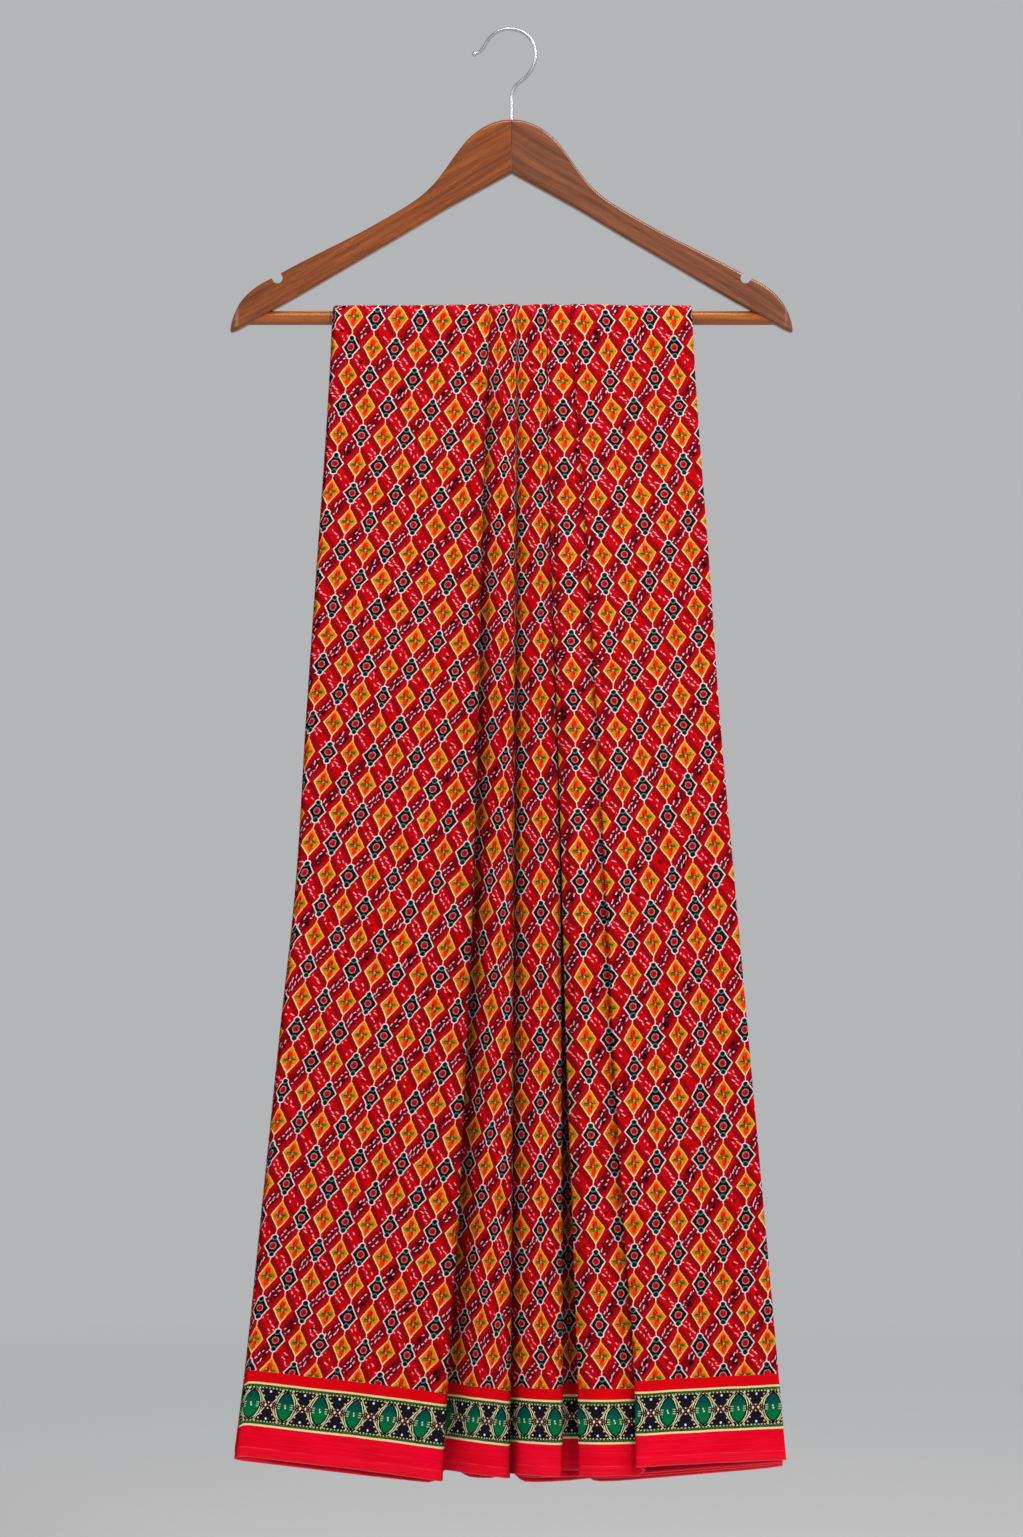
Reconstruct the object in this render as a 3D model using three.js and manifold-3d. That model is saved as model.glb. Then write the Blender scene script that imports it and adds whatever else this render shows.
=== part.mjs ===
// Sari folded, pleated and hung over the bar of a wooden clothes hanger.
// Units are millimetres, +Z up. The front of the cloth faces -Y and +X is to the right.
// The origin is the point inside the top of the hook that rests on a clothes rail.
//
// Nodes: sari (one sheet, one solid), arm_left, arm_right, bar, hook.

import * as THREE from 'three';
import { mergeVertices } from 'three/addons/utils/BufferGeometryUtils.js';
import Module from 'manifold-3d';

// ---------------------------------------------------------------- driving sizes

const GAP = 0.3;            // clearance between separate pieces
const WIRE = 2.8;           // hook wire diameter
const STEM_DEPTH = 24;      // how far the hook's stem sits in the wood
const HOOK_BALL = 4.2;      // diameter of the ball on the hook's end

const ARM_THICK = 15;       // thickness of the arms, front to back
const ARM_ROUND = 3.2;      // radius routed along the arms' long edges
const NOTCH_X = 185.8;      // strap notch, distance from the middle
const NOTCH_WIDE = 8.4;
const NOTCH_DEEP = 6.6;

const BAR_Z = -227.1;       // height of the bar's axis
const BAR_DIA = 11;
const BAR_HALF = 211;       // half of the bar's length, ends set in the arms

const SHEET = 1.0;          // thickness of the cloth solid
const CLEAR = 0.6;          // bar's surface to the innermost layer
const LAYERS = 4;           // the pleated front layer and three flat ones behind it
const DROP = 905;           // nominal drop below the bar's axis at the front
const DROP_BACK = 252;      // drop at the back

// ---------------------------------------------------------------- tables

// Sections of one hanger arm, from the mitre joint outwards.
//   x      distance from the middle
//   top    height of the upper edge
//   under  height of the lower edge
const ARM_SECTIONS = [
  { x: 0, top: -70.7, under: -113.4 },
  { x: 7, top: -71.2, under: -117.2 },
  { x: 14.2, top: -73.2, under: -121.1 },
  { x: 20.5, top: -75.5, under: -124.6 },
  { x: 26, top: -78.7, under: -127.6 },
  { x: 34.7, top: -86.1, under: -132.3 },
  { x: 41.7, top: -95.1, under: -136.2 },
  { x: 52, top: -109.6, under: -141.9 },
  { x: 59.1, top: -119.2, under: -146.1 },
  { x: 66.2, top: -126.9, under: -150.4 },
  { x: 75, top: -133.8, under: -155.6 },
  { x: 85.8, top: -140.8, under: -162.1 },
  { x: 118.1, top: -159.3, under: -180.9 },
  { x: 145.7, top: -173.2, under: -197.1 },
  { x: 167.8, top: -184.4, under: -210.0 },
  { x: 180.4, top: -191.2, under: -217.1 },
  { x: 191.6, top: -197.2, under: -223.0 },
  { x: 198.5, top: -200.9, under: -226.9 },
  { x: 206.3, top: -206.6, under: -231.4 },
  { x: 213, top: -213.7, under: -235.4 },
  { x: 218.2, top: -222.6, under: -237.9 },
  { x: 220.9, top: -229.8, under: -238.7 },
  { x: 222.1, top: -234.6, under: -238.3 },
];

// Bends of the hook's wire, from the stem's foot to the ball.
const HOOK_BENDS = [
  { x: 0, z: -70.7 - STEM_DEPTH },
  { x: 0, z: -76 },
  { x: 0, z: -58 },
  { x: 0.1, z: -51.5 },
  { x: 3.3, z: -43.9 },
  { x: 12.9, z: -35.2 },
  { x: 18.3, z: -24.8 },
  { x: 18.8, z: -15.4 },
  { x: 15.0, z: -6.6 },
  { x: 7.6, z: -0.6 },
  { x: -1.7, z: 1.4 },
  { x: -11.0, z: -0.8 },
  { x: -18.2, z: -7.0 },
  { x: -22.4, z: -13.9 },
  { x: -25.4, z: -16.8 },
  { x: -29.2, z: -18.4 },
];

// Sections of the cloth across its drape, a row for each level.
//   at      distance below the bar's axis, negative at the back
//   left, right   the folded edges of the stack
//   crease1 left panel's edge, lying over ridge 2
//   crease2 ridge 2's edge, lying over ridge 3
//   crease3 ridge 3's edge, lying over the recess
//   recess  width of the recess, up to the edge of ridge 4
//   crease4 right panel's edge, lying over ridge 4
//   under   how far each crease is turned under
//   puff    how far the ridges stand off the cloth behind
//   lay     spacing of the layers inside a crease
//   pitch   spacing of the layers behind the front one
const CLOTH_SECTIONS = [
  { at: -252, left: -130, crease1: -14, crease2: 5, crease3: 25, recess: 2.0, crease4: 43, right: 131, under: 10.0, puff: 0.3, lay: 1.30, pitch: 1.7 },
  { at: -60, left: -139, crease1: -16, crease2: 5.1, crease3: 27.6, recess: 2.0, crease4: 46.8, right: 140, under: 10.5, puff: 0.1, lay: 1.28, pitch: 1.35 },
  { at: 0, left: -141.9, crease1: -16.3, crease2: 5.1, crease3: 28, recess: 2.0, crease4: 47.3, right: 142.4, under: 10.8, puff: 0.1, lay: 1.28, pitch: 1.30 },
  { at: 65, left: -145.3, crease1: -18.1, crease2: 5.1, crease3: 28.4, recess: 2.0, crease4: 51.4, right: 146.0, under: 10.8, puff: 0.5, lay: 1.32, pitch: 1.4 },
  { at: 190, left: -154.0, crease1: -22.4, crease2: 5.1, crease3: 32.2, recess: 2.0, crease4: 60.1, right: 155.4, under: 10.4, puff: 1.4, lay: 1.40, pitch: 1.6 },
  { at: 315, left: -162.8, crease1: -25.2, crease2: 4.3, crease3: 35, recess: 2.1, crease4: 67.5, right: 164.0, under: 9.8, puff: 2.4, lay: 1.50, pitch: 1.9 },
  { at: 440, left: -170.6, crease1: -28.4, crease2: 3.5, crease3: 37.3, recess: 2.5, crease4: 73.8, right: 175.1, under: 9.0, puff: 3.5, lay: 1.62, pitch: 2.2 },
  { at: 565, left: -183.9, crease1: -33.0, crease2: 2.8, crease3: 38.5, recess: 3.8, crease4: 80.0, right: 186.2, under: 8.2, puff: 4.6, lay: 1.75, pitch: 2.5 },
  { at: 695, left: -197.4, crease1: -38.5, crease2: 1.2, crease3: 38.8, recess: 6.4, crease4: 87.1, right: 197.8, under: 7.4, puff: 5.8, lay: 1.88, pitch: 2.8 },
  { at: 835, left: -212.2, crease1: -48.6, crease2: 0, crease3: 39.2, recess: 11, crease4: 96.9, right: 210.2, under: 6.7, puff: 6.8, lay: 2.0, pitch: 3.1 },
  { at: 905, left: -221.3, crease1: -53.4, crease2: -0.4, crease3: 39.2, recess: 12.2, crease4: 98.1, right: 216.5, under: 6.5, puff: 7.2, lay: 2.1, pitch: 3.3 },
];

// Hem of the front layer: the drop below the bar's axis at each panel's two ends.
const PANEL_HEMS = {
  left: { start: 896.0, end: 915.7 },
  ridge2: { start: 906.2, end: 912.5 },
  ridge3: { start: 910.5, end: 910.9 },
  recess: { start: 908.2, end: 908.2 },
  ridge4: { start: 910.5, end: 911.7 },
  right: { start: 903.8, end: 899.8 },
};

// Hem of the layers behind: the drop at the left edge, the middle and the right edge.
const BACK_HEMS = [
  { layer: 1, left: 899, middle: 914, right: 904 },
  { layer: 2, left: 901, middle: 916, right: 906 },
  { layer: 3, left: 902, middle: 917, right: 907 },
];

// Shares of the front drop, and of the back drop, at which a section is set.
const FRONT_STEPS = [1, 0.923, 0.845, 0.768, 0.69, 0.624, 0.552, 0.486, 0.416, 0.348, 0.28, 0.21, 0.14, 0.072, 0.02];
const BACK_STEPS = [0.05, 0.28, 0.6, 1];
const BAR_STEPS = 8;        // steps of the half turn over the bar

// ---------------------------------------------------------------- helpers

const mix = (a, b, t) => a + (b - a) * t;

/** Row of a table at a level, with straight lines between the rows. */
function rowAt(table, key, value) {
  const last = table.length - 1;
  const v = Math.min(Math.max(value, table[0][key]), table[last][key]);
  let n = 0;
  while (n < last - 1 && table[n + 1][key] < v) n++;
  const t = (v - table[n][key]) / (table[n + 1][key] - table[n][key]);
  const row = {};
  for (const name of Object.keys(table[n])) row[name] = mix(table[n][name], table[n + 1][name], t);
  return row;
}

/** Closed geometry from rings of points, each ring joined to the next, the ends capped with fans. */
function loft(rings) {
  const n = rings[0].length;
  const position = [];
  const index = [];
  for (const ring of rings) for (const p of ring) position.push(p.x, p.y, p.z);
  for (let r = 0; r < rings.length - 1; r++) {
    for (let k = 0; k < n; k++) {
      const a = r * n + k, b = r * n + (k + 1) % n, c = a + n, d = b + n;
      index.push(a, b, d, a, d, c);
    }
  }
  for (const [base, flip] of [[0, true], [(rings.length - 1) * n, false]]) {
    for (let k = 1; k < n - 1; k++) {
      if (flip) index.push(base, base + k + 1, base + k);
      else index.push(base, base + k, base + k + 1);
    }
  }
  const g = new THREE.BufferGeometry();
  g.setAttribute('position', new THREE.Float32BufferAttribute(position, 3));
  g.setIndex(index);
  return outward(g);
}

/** The same geometry with its faces pointing out. */
function outward(g) {
  const p = g.attributes.position, ix = g.index.array;
  const a = new THREE.Vector3(), b = new THREE.Vector3(), c = new THREE.Vector3();
  let volume = 0;
  for (let t = 0; t < ix.length; t += 3) {
    a.fromBufferAttribute(p, ix[t]); b.fromBufferAttribute(p, ix[t + 1]); c.fromBufferAttribute(p, ix[t + 2]);
    volume += a.dot(b.cross(c));
  }
  if (volume < 0) {
    const turned = [];
    for (let t = 0; t < ix.length; t += 3) turned.push(ix[t], ix[t + 2], ix[t + 1]);
    g.setIndex(turned);
  }
  g.computeVertexNormals();
  return g;
}

const wasm = await Module();
wasm.setup();

function toSolid(geometry) {
  let g = geometry.clone();
  g.deleteAttribute('normal');
  g.deleteAttribute('uv');
  g = mergeVertices(g, 1e-4);
  return new wasm.Manifold(new wasm.Mesh({
    numProp: 3,
    vertProperties: new Float32Array(g.attributes.position.array),
    triVerts: new Uint32Array(g.index.array),
  }));
}

function toGeometry(solid) {
  const m = solid.getMesh();
  const g = new THREE.BufferGeometry();
  g.setAttribute('position', new THREE.BufferAttribute(new Float32Array(m.vertProperties), 3));
  g.setIndex(Array.from(m.triVerts));
  g.computeVertexNormals();
  return g;
}

// ---------------------------------------------------------------- hanger

/** Rounded oblong across an arm: thick in Y, from under to top in Z. */
function armRing(x, top, under, thick) {
  const half = thick / 2;
  const r = Math.min(ARM_ROUND, (top - under) * 0.45, half * 0.9);
  const ring = [];
  const corners = [
    { y: half - r, z: top - r, from: 0 },
    { y: -half + r, z: top - r, from: 90 },
    { y: -half + r, z: under + r, from: 180 },
    { y: half - r, z: under + r, from: 270 },
  ];
  for (const c of corners) {
    for (const step of [0, 30, 60, 90]) {
      const turn = THREE.MathUtils.degToRad(c.from + step);
      ring.push(new THREE.Vector3(x, c.y + r * Math.cos(turn), c.z + r * Math.sin(turn)));
    }
  }
  return ring;
}

function armGeometry(side) {
  const rings = ARM_SECTIONS.map((s, n) => {
    const x = side * (s.x + (n === 0 ? GAP / 2 : 0));
    const nearEnd = THREE.MathUtils.clamp((s.x - 214) / 8.1, 0, 1);
    return armRing(x, s.top, s.under, ARM_THICK * (1 - 0.45 * nearEnd * nearEnd));
  });
  let body = toSolid(loft(rings));

  const barHole = new THREE.CylinderGeometry(BAR_DIA / 2 + GAP, BAR_DIA / 2 + GAP, 2 * BAR_HALF + 2 * GAP, 40)
    .rotateZ(Math.PI / 2).translate(0, 0, BAR_Z);
  const stemHole = new THREE.CylinderGeometry(WIRE / 2 + GAP, WIRE / 2 + GAP, STEM_DEPTH + GAP + 10, 20)
    .rotateX(Math.PI / 2).translate(0, 0, -70.7 - STEM_DEPTH - GAP + (STEM_DEPTH + GAP + 10) / 2);
  // The strap notch: a round-bottomed slot square to the arm's upper edge.
  const a = rowAt(ARM_SECTIONS, 'x', NOTCH_X - 6), b = rowAt(ARM_SECTIONS, 'x', NOTCH_X + 6);
  const slope = Math.atan2(b.top - a.top, 12);
  const top = rowAt(ARM_SECTIONS, 'x', NOTCH_X).top;
  const slot = new THREE.Shape();
  const half = NOTCH_WIDE / 2;
  slot.moveTo(-half - 1.2, 12);
  slot.lineTo(-half - 1.2, 0.6);
  slot.lineTo(-half + 0.2, -0.9);
  slot.lineTo(-half + 0.2, -NOTCH_DEEP + half);
  slot.absarc(0, -NOTCH_DEEP + half, half - 0.2, Math.PI, 2 * Math.PI, false);
  slot.lineTo(half - 0.2, -0.9);
  slot.lineTo(half + 1.2, 0.6);
  slot.lineTo(half + 1.2, 12);
  slot.closePath();
  const notch = new THREE.ExtrudeGeometry(slot, { depth: ARM_THICK + 6, bevelEnabled: false, curveSegments: 8 })
    .translate(0, 0, -ARM_THICK / 2 - 3)
    .rotateX(Math.PI / 2)
    .rotateY(-side * slope)
    .translate(side * NOTCH_X, 0, top);
  for (const cut of [barHole, stemHole, notch]) body = body.subtract(toSolid(cut));
  return toGeometry(body);
}

function hookGeometry() {
  const path = new THREE.CatmullRomCurve3(
    HOOK_BENDS.map((b) => new THREE.Vector3(b.x, 0, b.z)), false, 'centripetal');
  const ring = new THREE.Shape();
  ring.absarc(0, 0, WIRE / 2, 0, 2 * Math.PI, false);
  const wire = new THREE.ExtrudeGeometry(ring, { steps: 72, curveSegments: 6, bevelEnabled: false, extrudePath: path });
  const end = HOOK_BENDS[HOOK_BENDS.length - 1];
  const ball = new THREE.SphereGeometry(HOOK_BALL / 2, 14, 10).translate(end.x, 0, end.z);
  return toGeometry(toSolid(wire).add(toSolid(ball)));
}

function barGeometry() {
  return new THREE.CylinderGeometry(BAR_DIA / 2, BAR_DIA / 2, 2 * BAR_HALF, 40)
    .rotateZ(Math.PI / 2).translate(0, 0, BAR_Z);
}

// ---------------------------------------------------------------- cloth

/** Half turn of the sheet at x, from height h1 to height h2; nose is +1 to the right, -1 to the left. */
function turn(x, h1, h2, nose, hem) {
  const r = Math.abs(h2 - h1) / 2;
  return [
    { x: x - nose * r, h: h1, hem },
    { x, h: (h1 + h2) / 2, hem },
    { x: x - nose * r, h: h2, hem },
  ];
}

/** Straight run between two points, without its two ends, raised in the middle by crown. */
function run(from, to, steps, crown = 0) {
  const out = [];
  for (let n = 1; n < steps; n++) {
    const t = n / steps;
    out.push({
      x: mix(from.x, to.x, t),
      h: mix(from.h, to.h, t) + crown * 4 * t * (1 - t),
      hem: mix(from.hem, to.hem, t),
    });
  }
  return out;
}

/** Centre line of the whole cloth across one level: x, height h off the innermost layer, drop of the hem. */
function clothLine(at) {
  const p = rowAt(CLOTH_SECTIONS, 'at', at);
  const hems = PANEL_HEMS;
  const base = (LAYERS - 1) * p.pitch;              // height of the front layer's flat cloth
  const mid = base + p.lay, top = base + 2 * p.lay;
  const puff = p.puff;
  const crease3b = p.crease3 + p.recess;
  const low4 = base + 0.2 * puff;                   // where ridge 4 runs under the right panel
  const line = [];

  // left panel, its right edge turned under
  const leftEdge = turn(p.left, base - p.pitch, base, -1, hems.left.start);
  const overTurn = { x: p.crease1 - p.under - 2.5, h: top + 0.45 * puff, hem: mix(hems.left.start, hems.left.end, 0.9) };
  const foot = { x: p.crease1 - p.under - 14 - 2 * puff, h: base + 0.35 * puff, hem: mix(hems.left.start, hems.left.end, 0.8) };
  const edge1 = turn(p.crease1, top + 0.75 * puff, mid + 0.5 * puff, 1, hems.left.end);
  const under1 = turn(p.crease1 - p.under, mid + 0.15 * puff, base, -1, mix(hems.left.end, hems.ridge2.start, 0.5));
  line.push(...leftEdge, ...run(leftEdge[2], foot, 3, 0.25 * puff), foot, overTurn, ...edge1, ...under1);

  // ridge 2, its right edge turned under
  const width2 = p.crease2 - p.crease1;
  const rise2 = { x: p.crease1 + 0.20 * width2, h: base + 0.25 * p.lay + 0.25 * puff, hem: mix(hems.ridge2.start, hems.ridge2.end, 0.15) };
  const over2 = { x: Math.max(p.crease1 + 0.42 * width2, p.crease2 - p.under - 2.2), h: top + 0.85 * puff, hem: mix(hems.ridge2.start, hems.ridge2.end, 0.5) };
  const edge2 = turn(p.crease2, top + puff, mid + 0.55 * puff, 1, hems.ridge2.end);
  const under2 = turn(p.crease2 - p.under, mid + 0.15 * puff, base, -1, mix(hems.ridge2.end, hems.ridge3.start, 0.5));
  line.push({ x: p.crease1, h: base, hem: hems.ridge2.start }, rise2, over2, ...edge2, ...under2);

  // ridge 3, its right edge turned under
  const width3 = p.crease3 - p.crease2;
  const rise3 = { x: p.crease2 + 0.22 * width3, h: base + 0.4 * p.lay + 0.45 * puff, hem: hems.ridge3.start };
  const over3 = { x: Math.max(p.crease2 + 0.42 * width3, p.crease3 - p.under - 2.2), h: top + 0.95 * puff, hem: mix(hems.ridge3.start, hems.ridge3.end, 0.5) };
  const edge3 = turn(p.crease3, top + puff, mid + 0.55 * puff, 1, hems.ridge3.end);
  const under3 = turn(p.crease3 - p.under, mid + 0.15 * puff, base, -1, mix(hems.ridge3.end, hems.recess.start, 0.5));
  line.push({ x: p.crease2, h: base, hem: hems.ridge3.start }, rise3, over3, ...edge3, ...under3);

  // recess, turned up under ridge 4's left edge
  const under4 = turn(crease3b + p.under * 0.8, base, mid + 0.15 * puff, 1, mix(hems.recess.end, hems.ridge4.start, 0.5));
  const edge4 = turn(crease3b, mid + 0.5 * puff, top + 0.9 * puff, -1, hems.ridge4.start);
  line.push({ x: p.crease3 + p.recess / 2, h: base, hem: hems.recess.start }, ...under4, ...edge4);

  // ridge 4, sinking under the right panel's left edge
  const width4 = p.crease4 - crease3b;
  const over4 = { x: crease3b + Math.max(0.5 * width4, 0.8 * p.under + 1.6), h: top + 0.8 * puff, hem: mix(hems.ridge4.start, hems.ridge4.end, 0.6) };
  const sink4 = { x: p.crease4 - 0.12 * width4, h: low4, hem: mix(hems.ridge4.start, hems.ridge4.end, 0.9) };
  const under5 = turn(p.crease4 + p.under, low4, low4 + p.lay, 1, mix(hems.ridge4.end, hems.right.start, 0.6));
  const edge5 = turn(p.crease4, low4 + p.lay, low4 + 2 * p.lay + 0.1 * puff, -1, hems.right.start);
  line.push(over4, sink4, ...under5, ...edge5);

  // right panel, ending at the stack's right edge
  const over5 = { x: p.crease4 + p.under + 2.5, h: low4 + 2 * p.lay, hem: mix(hems.right.start, hems.right.end, 0.1) };
  const foot5 = { x: p.crease4 + p.under + 18 + 2 * puff, h: base + 0.2 * puff, hem: mix(hems.right.start, hems.right.end, 0.25) };
  const end = { x: p.right, h: base, hem: hems.right.end };
  line.push(over5, foot5, ...run(foot5, end, 3, 0.2 * puff), end);

  // the flat layers behind, back and forth from the left edge, put in front of the list
  const behind = [];
  for (let layer = 1; layer < LAYERS; layer++) {
    const row = BACK_HEMS[layer - 1];
    const h = base - layer * p.pitch;
    const goingRight = layer % 2 === 1;
    const inset = 0.8 * layer;
    const l = p.left + (layer === 1 ? 0 : inset), r = p.right - inset;
    const hemAt = (x) => {
      const t = (x - p.left) / (p.right - p.left);
      return (1 - t) * (1 - 2 * t) * row.left + 4 * t * (1 - t) * row.middle + t * (2 * t - 1) * row.right;
    };
    const bend = p.pitch / 2;
    const xs = [l + bend + 2, mix(l, r, 0.25), mix(l, r, 0.5), mix(l, r, 0.75), r - bend - 2];
    if (layer === LAYERS - 1) xs[4] = r;
    const points = xs.map((x) => ({ x, h, hem: hemAt(x) }));
    if (!goingRight) points.reverse();
    behind.push(...points);
    if (layer < LAYERS - 1) {
      const x = goingRight ? r : l + 0.8;
      behind.push(...turn(x, h, h - p.pitch, goingRight ? 1 : -1, hemAt(x)));
    }
  }
  return [...behind.reverse(), ...line];
}

/** Both faces of the sheet across one level: points half a thickness to each side of the centre line. */
function sheetFaces(line) {
  const faces = { outer: [], inner: [] };
  for (let n = 0; n < line.length; n++) {
    const here = line[n], before = line[Math.max(n - 1, 0)], after = line[Math.min(n + 1, line.length - 1)];
    let a = new THREE.Vector2(here.x - before.x, here.h - before.h);
    let b = new THREE.Vector2(after.x - here.x, after.h - here.h);
    if (n === 0) a = b.clone();
    if (n === line.length - 1) b = a.clone();
    a.normalize(); b.normalize();
    const across = new THREE.Vector2(-(a.y + b.y), a.x + b.x).normalize();
    const stretch = Math.min(1 / Math.max(across.dot(new THREE.Vector2(-a.y, a.x)), 0.3), 1.5);
    const step = across.multiplyScalar(stretch * SHEET / 2);
    faces.outer.push({ x: here.x + step.x, h: here.h + step.y, hem: here.hem });
    faces.inner.push({ x: here.x - step.x, h: here.h - step.y, hem: here.hem });
  }
  return faces;
}

/** Levels along the drape, from the front hem over the bar to the back hem. */
function drapeStations() {
  const list = [];
  for (const share of FRONT_STEPS) list.push({ at: share * DROP, share, side: 'front' });
  for (let n = 0; n <= BAR_STEPS; n++) list.push({ at: 0, angle: Math.PI * n / BAR_STEPS, side: 'bar' });
  for (const share of BACK_STEPS) list.push({ at: -share * DROP_BACK, share, side: 'back' });
  return list;
}

function clothGeometry() {
  const inner = BAR_DIA / 2 + CLEAR + SHEET / 2;    // radius of the innermost layer's centre line
  const place = (q, s) => {
    const r = inner + q.h;
    if (s.side === 'front') return [q.x, -r, BAR_Z - q.hem * s.share];
    if (s.side === 'back') return [q.x, r, BAR_Z - (DROP_BACK + 0.5 * (LAYERS * 1.3 - q.h)) * s.share];
    return [q.x, -r * Math.cos(s.angle), BAR_Z + r * Math.sin(s.angle)];
  };
  const stations = drapeStations();
  const rows = stations.map((s) => {
    const faces = sheetFaces(clothLine(s.at));
    return { outer: faces.outer.map((q) => place(q, s)), inner: faces.inner.map((q) => place(q, s)) };
  });
  const n = rows[0].outer.length, m = rows.length;
  const position = [], index = [];
  for (const r of rows) position.push(...r.outer.flat());
  for (const r of rows) position.push(...r.inner.flat());
  const out = (j, i) => j * n + i, inn = (j, i) => (m + j) * n + i;
  const quad = (a, b, c, d) => index.push(a, b, c, a, c, d);
  for (let j = 0; j < m - 1; j++) {
    for (let i = 0; i < n - 1; i++) {
      quad(out(j, i), out(j, i + 1), out(j + 1, i + 1), out(j + 1, i));
      quad(inn(j, i), inn(j + 1, i), inn(j + 1, i + 1), inn(j, i + 1));
    }
    quad(out(j, 0), out(j + 1, 0), inn(j + 1, 0), inn(j, 0));
    quad(out(j, n - 1), inn(j, n - 1), inn(j + 1, n - 1), out(j + 1, n - 1));
  }
  for (let i = 0; i < n - 1; i++) {
    quad(out(0, i), inn(0, i), inn(0, i + 1), out(0, i + 1));
    quad(out(m - 1, i), out(m - 1, i + 1), inn(m - 1, i + 1), inn(m - 1, i));
  }
  const g = new THREE.BufferGeometry();
  g.setAttribute('position', new THREE.Float32BufferAttribute(position, 3));
  g.setIndex(index);
  return outward(g);
}

// ---------------------------------------------------------------- assembly

const finish = {
  cloth: new THREE.MeshStandardMaterial({ name: 'sari_cloth', color: 0xb81420, roughness: 0.75, metalness: 0 }),
  wood: new THREE.MeshStandardMaterial({ name: 'hanger_wood', color: 0x6b3a25, roughness: 0.4, metalness: 0 }),
  dowel: new THREE.MeshStandardMaterial({ name: 'bar_wood', color: 0x8a4a2c, roughness: 0.45, metalness: 0 }),
  steel: new THREE.MeshStandardMaterial({ name: 'hook_steel', color: 0xc9cbce, roughness: 0.18, metalness: 1 }),
};

function piece(name, geometry, material) {
  const mesh = new THREE.Mesh(geometry, material);
  mesh.name = name;
  return mesh;
}

const group = new THREE.Group();
group.name = 'sari_on_hanger';
group.add(
  piece('sari', clothGeometry(), finish.cloth),
  piece('arm_left', armGeometry(-1), finish.wood),
  piece('arm_right', armGeometry(1), finish.wood),
  piece('bar', barGeometry(), finish.dowel),
  piece('hook', hookGeometry(), finish.steel),
);

export default group;
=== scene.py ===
import math

import bpy
import numpy as np
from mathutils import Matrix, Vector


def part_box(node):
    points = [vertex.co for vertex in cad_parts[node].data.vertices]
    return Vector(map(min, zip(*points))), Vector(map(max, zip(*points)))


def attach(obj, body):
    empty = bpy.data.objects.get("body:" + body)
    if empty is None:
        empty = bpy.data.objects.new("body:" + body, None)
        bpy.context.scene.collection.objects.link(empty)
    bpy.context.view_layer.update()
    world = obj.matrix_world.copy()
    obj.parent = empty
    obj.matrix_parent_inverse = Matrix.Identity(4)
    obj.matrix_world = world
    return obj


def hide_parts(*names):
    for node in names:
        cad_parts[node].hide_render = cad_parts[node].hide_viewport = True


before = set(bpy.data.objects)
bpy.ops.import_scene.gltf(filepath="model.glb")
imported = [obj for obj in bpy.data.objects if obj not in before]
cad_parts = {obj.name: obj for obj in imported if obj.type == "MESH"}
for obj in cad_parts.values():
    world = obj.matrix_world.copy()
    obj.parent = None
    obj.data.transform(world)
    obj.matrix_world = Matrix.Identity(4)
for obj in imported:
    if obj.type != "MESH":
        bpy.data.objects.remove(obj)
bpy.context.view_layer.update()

MM = 0.001

# ---------------------------------------------------------------- the frame's own places
sari_lo, sari_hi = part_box("sari")
bar_lo, bar_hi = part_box("bar")
arm_lo, arm_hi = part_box("arm_right")
BAR_Z = (bar_lo.z + bar_hi.z) / 2 / MM  # mm
BAR_R = (bar_hi.z - bar_lo.z) / 2 / MM
DROP = 905.0
BACK = 252.0
FLAT_WIDE, FLAT_LONG = 1.19, 5.45

# ---------------------------------------------------------------- camera
FRAME_TALL = 1.2105
DIST = 3.5
cam_data = bpy.data.cameras.new("camera")
cam = bpy.data.objects.new("camera", cam_data)
bpy.context.scene.collection.objects.link(cam)
bpy.context.scene.camera = cam
cam.location = (0.0, -DIST - 0.012, -0.583)
cam.rotation_euler = (math.radians(90), 0, 0)
cam_data.sensor_width = 36
cam_data.lens = 36 * DIST / FRAME_TALL
cam_data.clip_start = 0.05
cam_data.clip_end = 200


# ---------------------------------------------------------------- colours and nodes
def lin(r, g, b):
    """An 8-bit screen colour as a shader colour."""
    out = []
    for c in (r, g, b):
        c = c / 255
        out.append(c / 12.92 if c <= 0.04045 else ((c + 0.055) / 1.055) ** 2.4)
    return (*out, 1.0)


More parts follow.
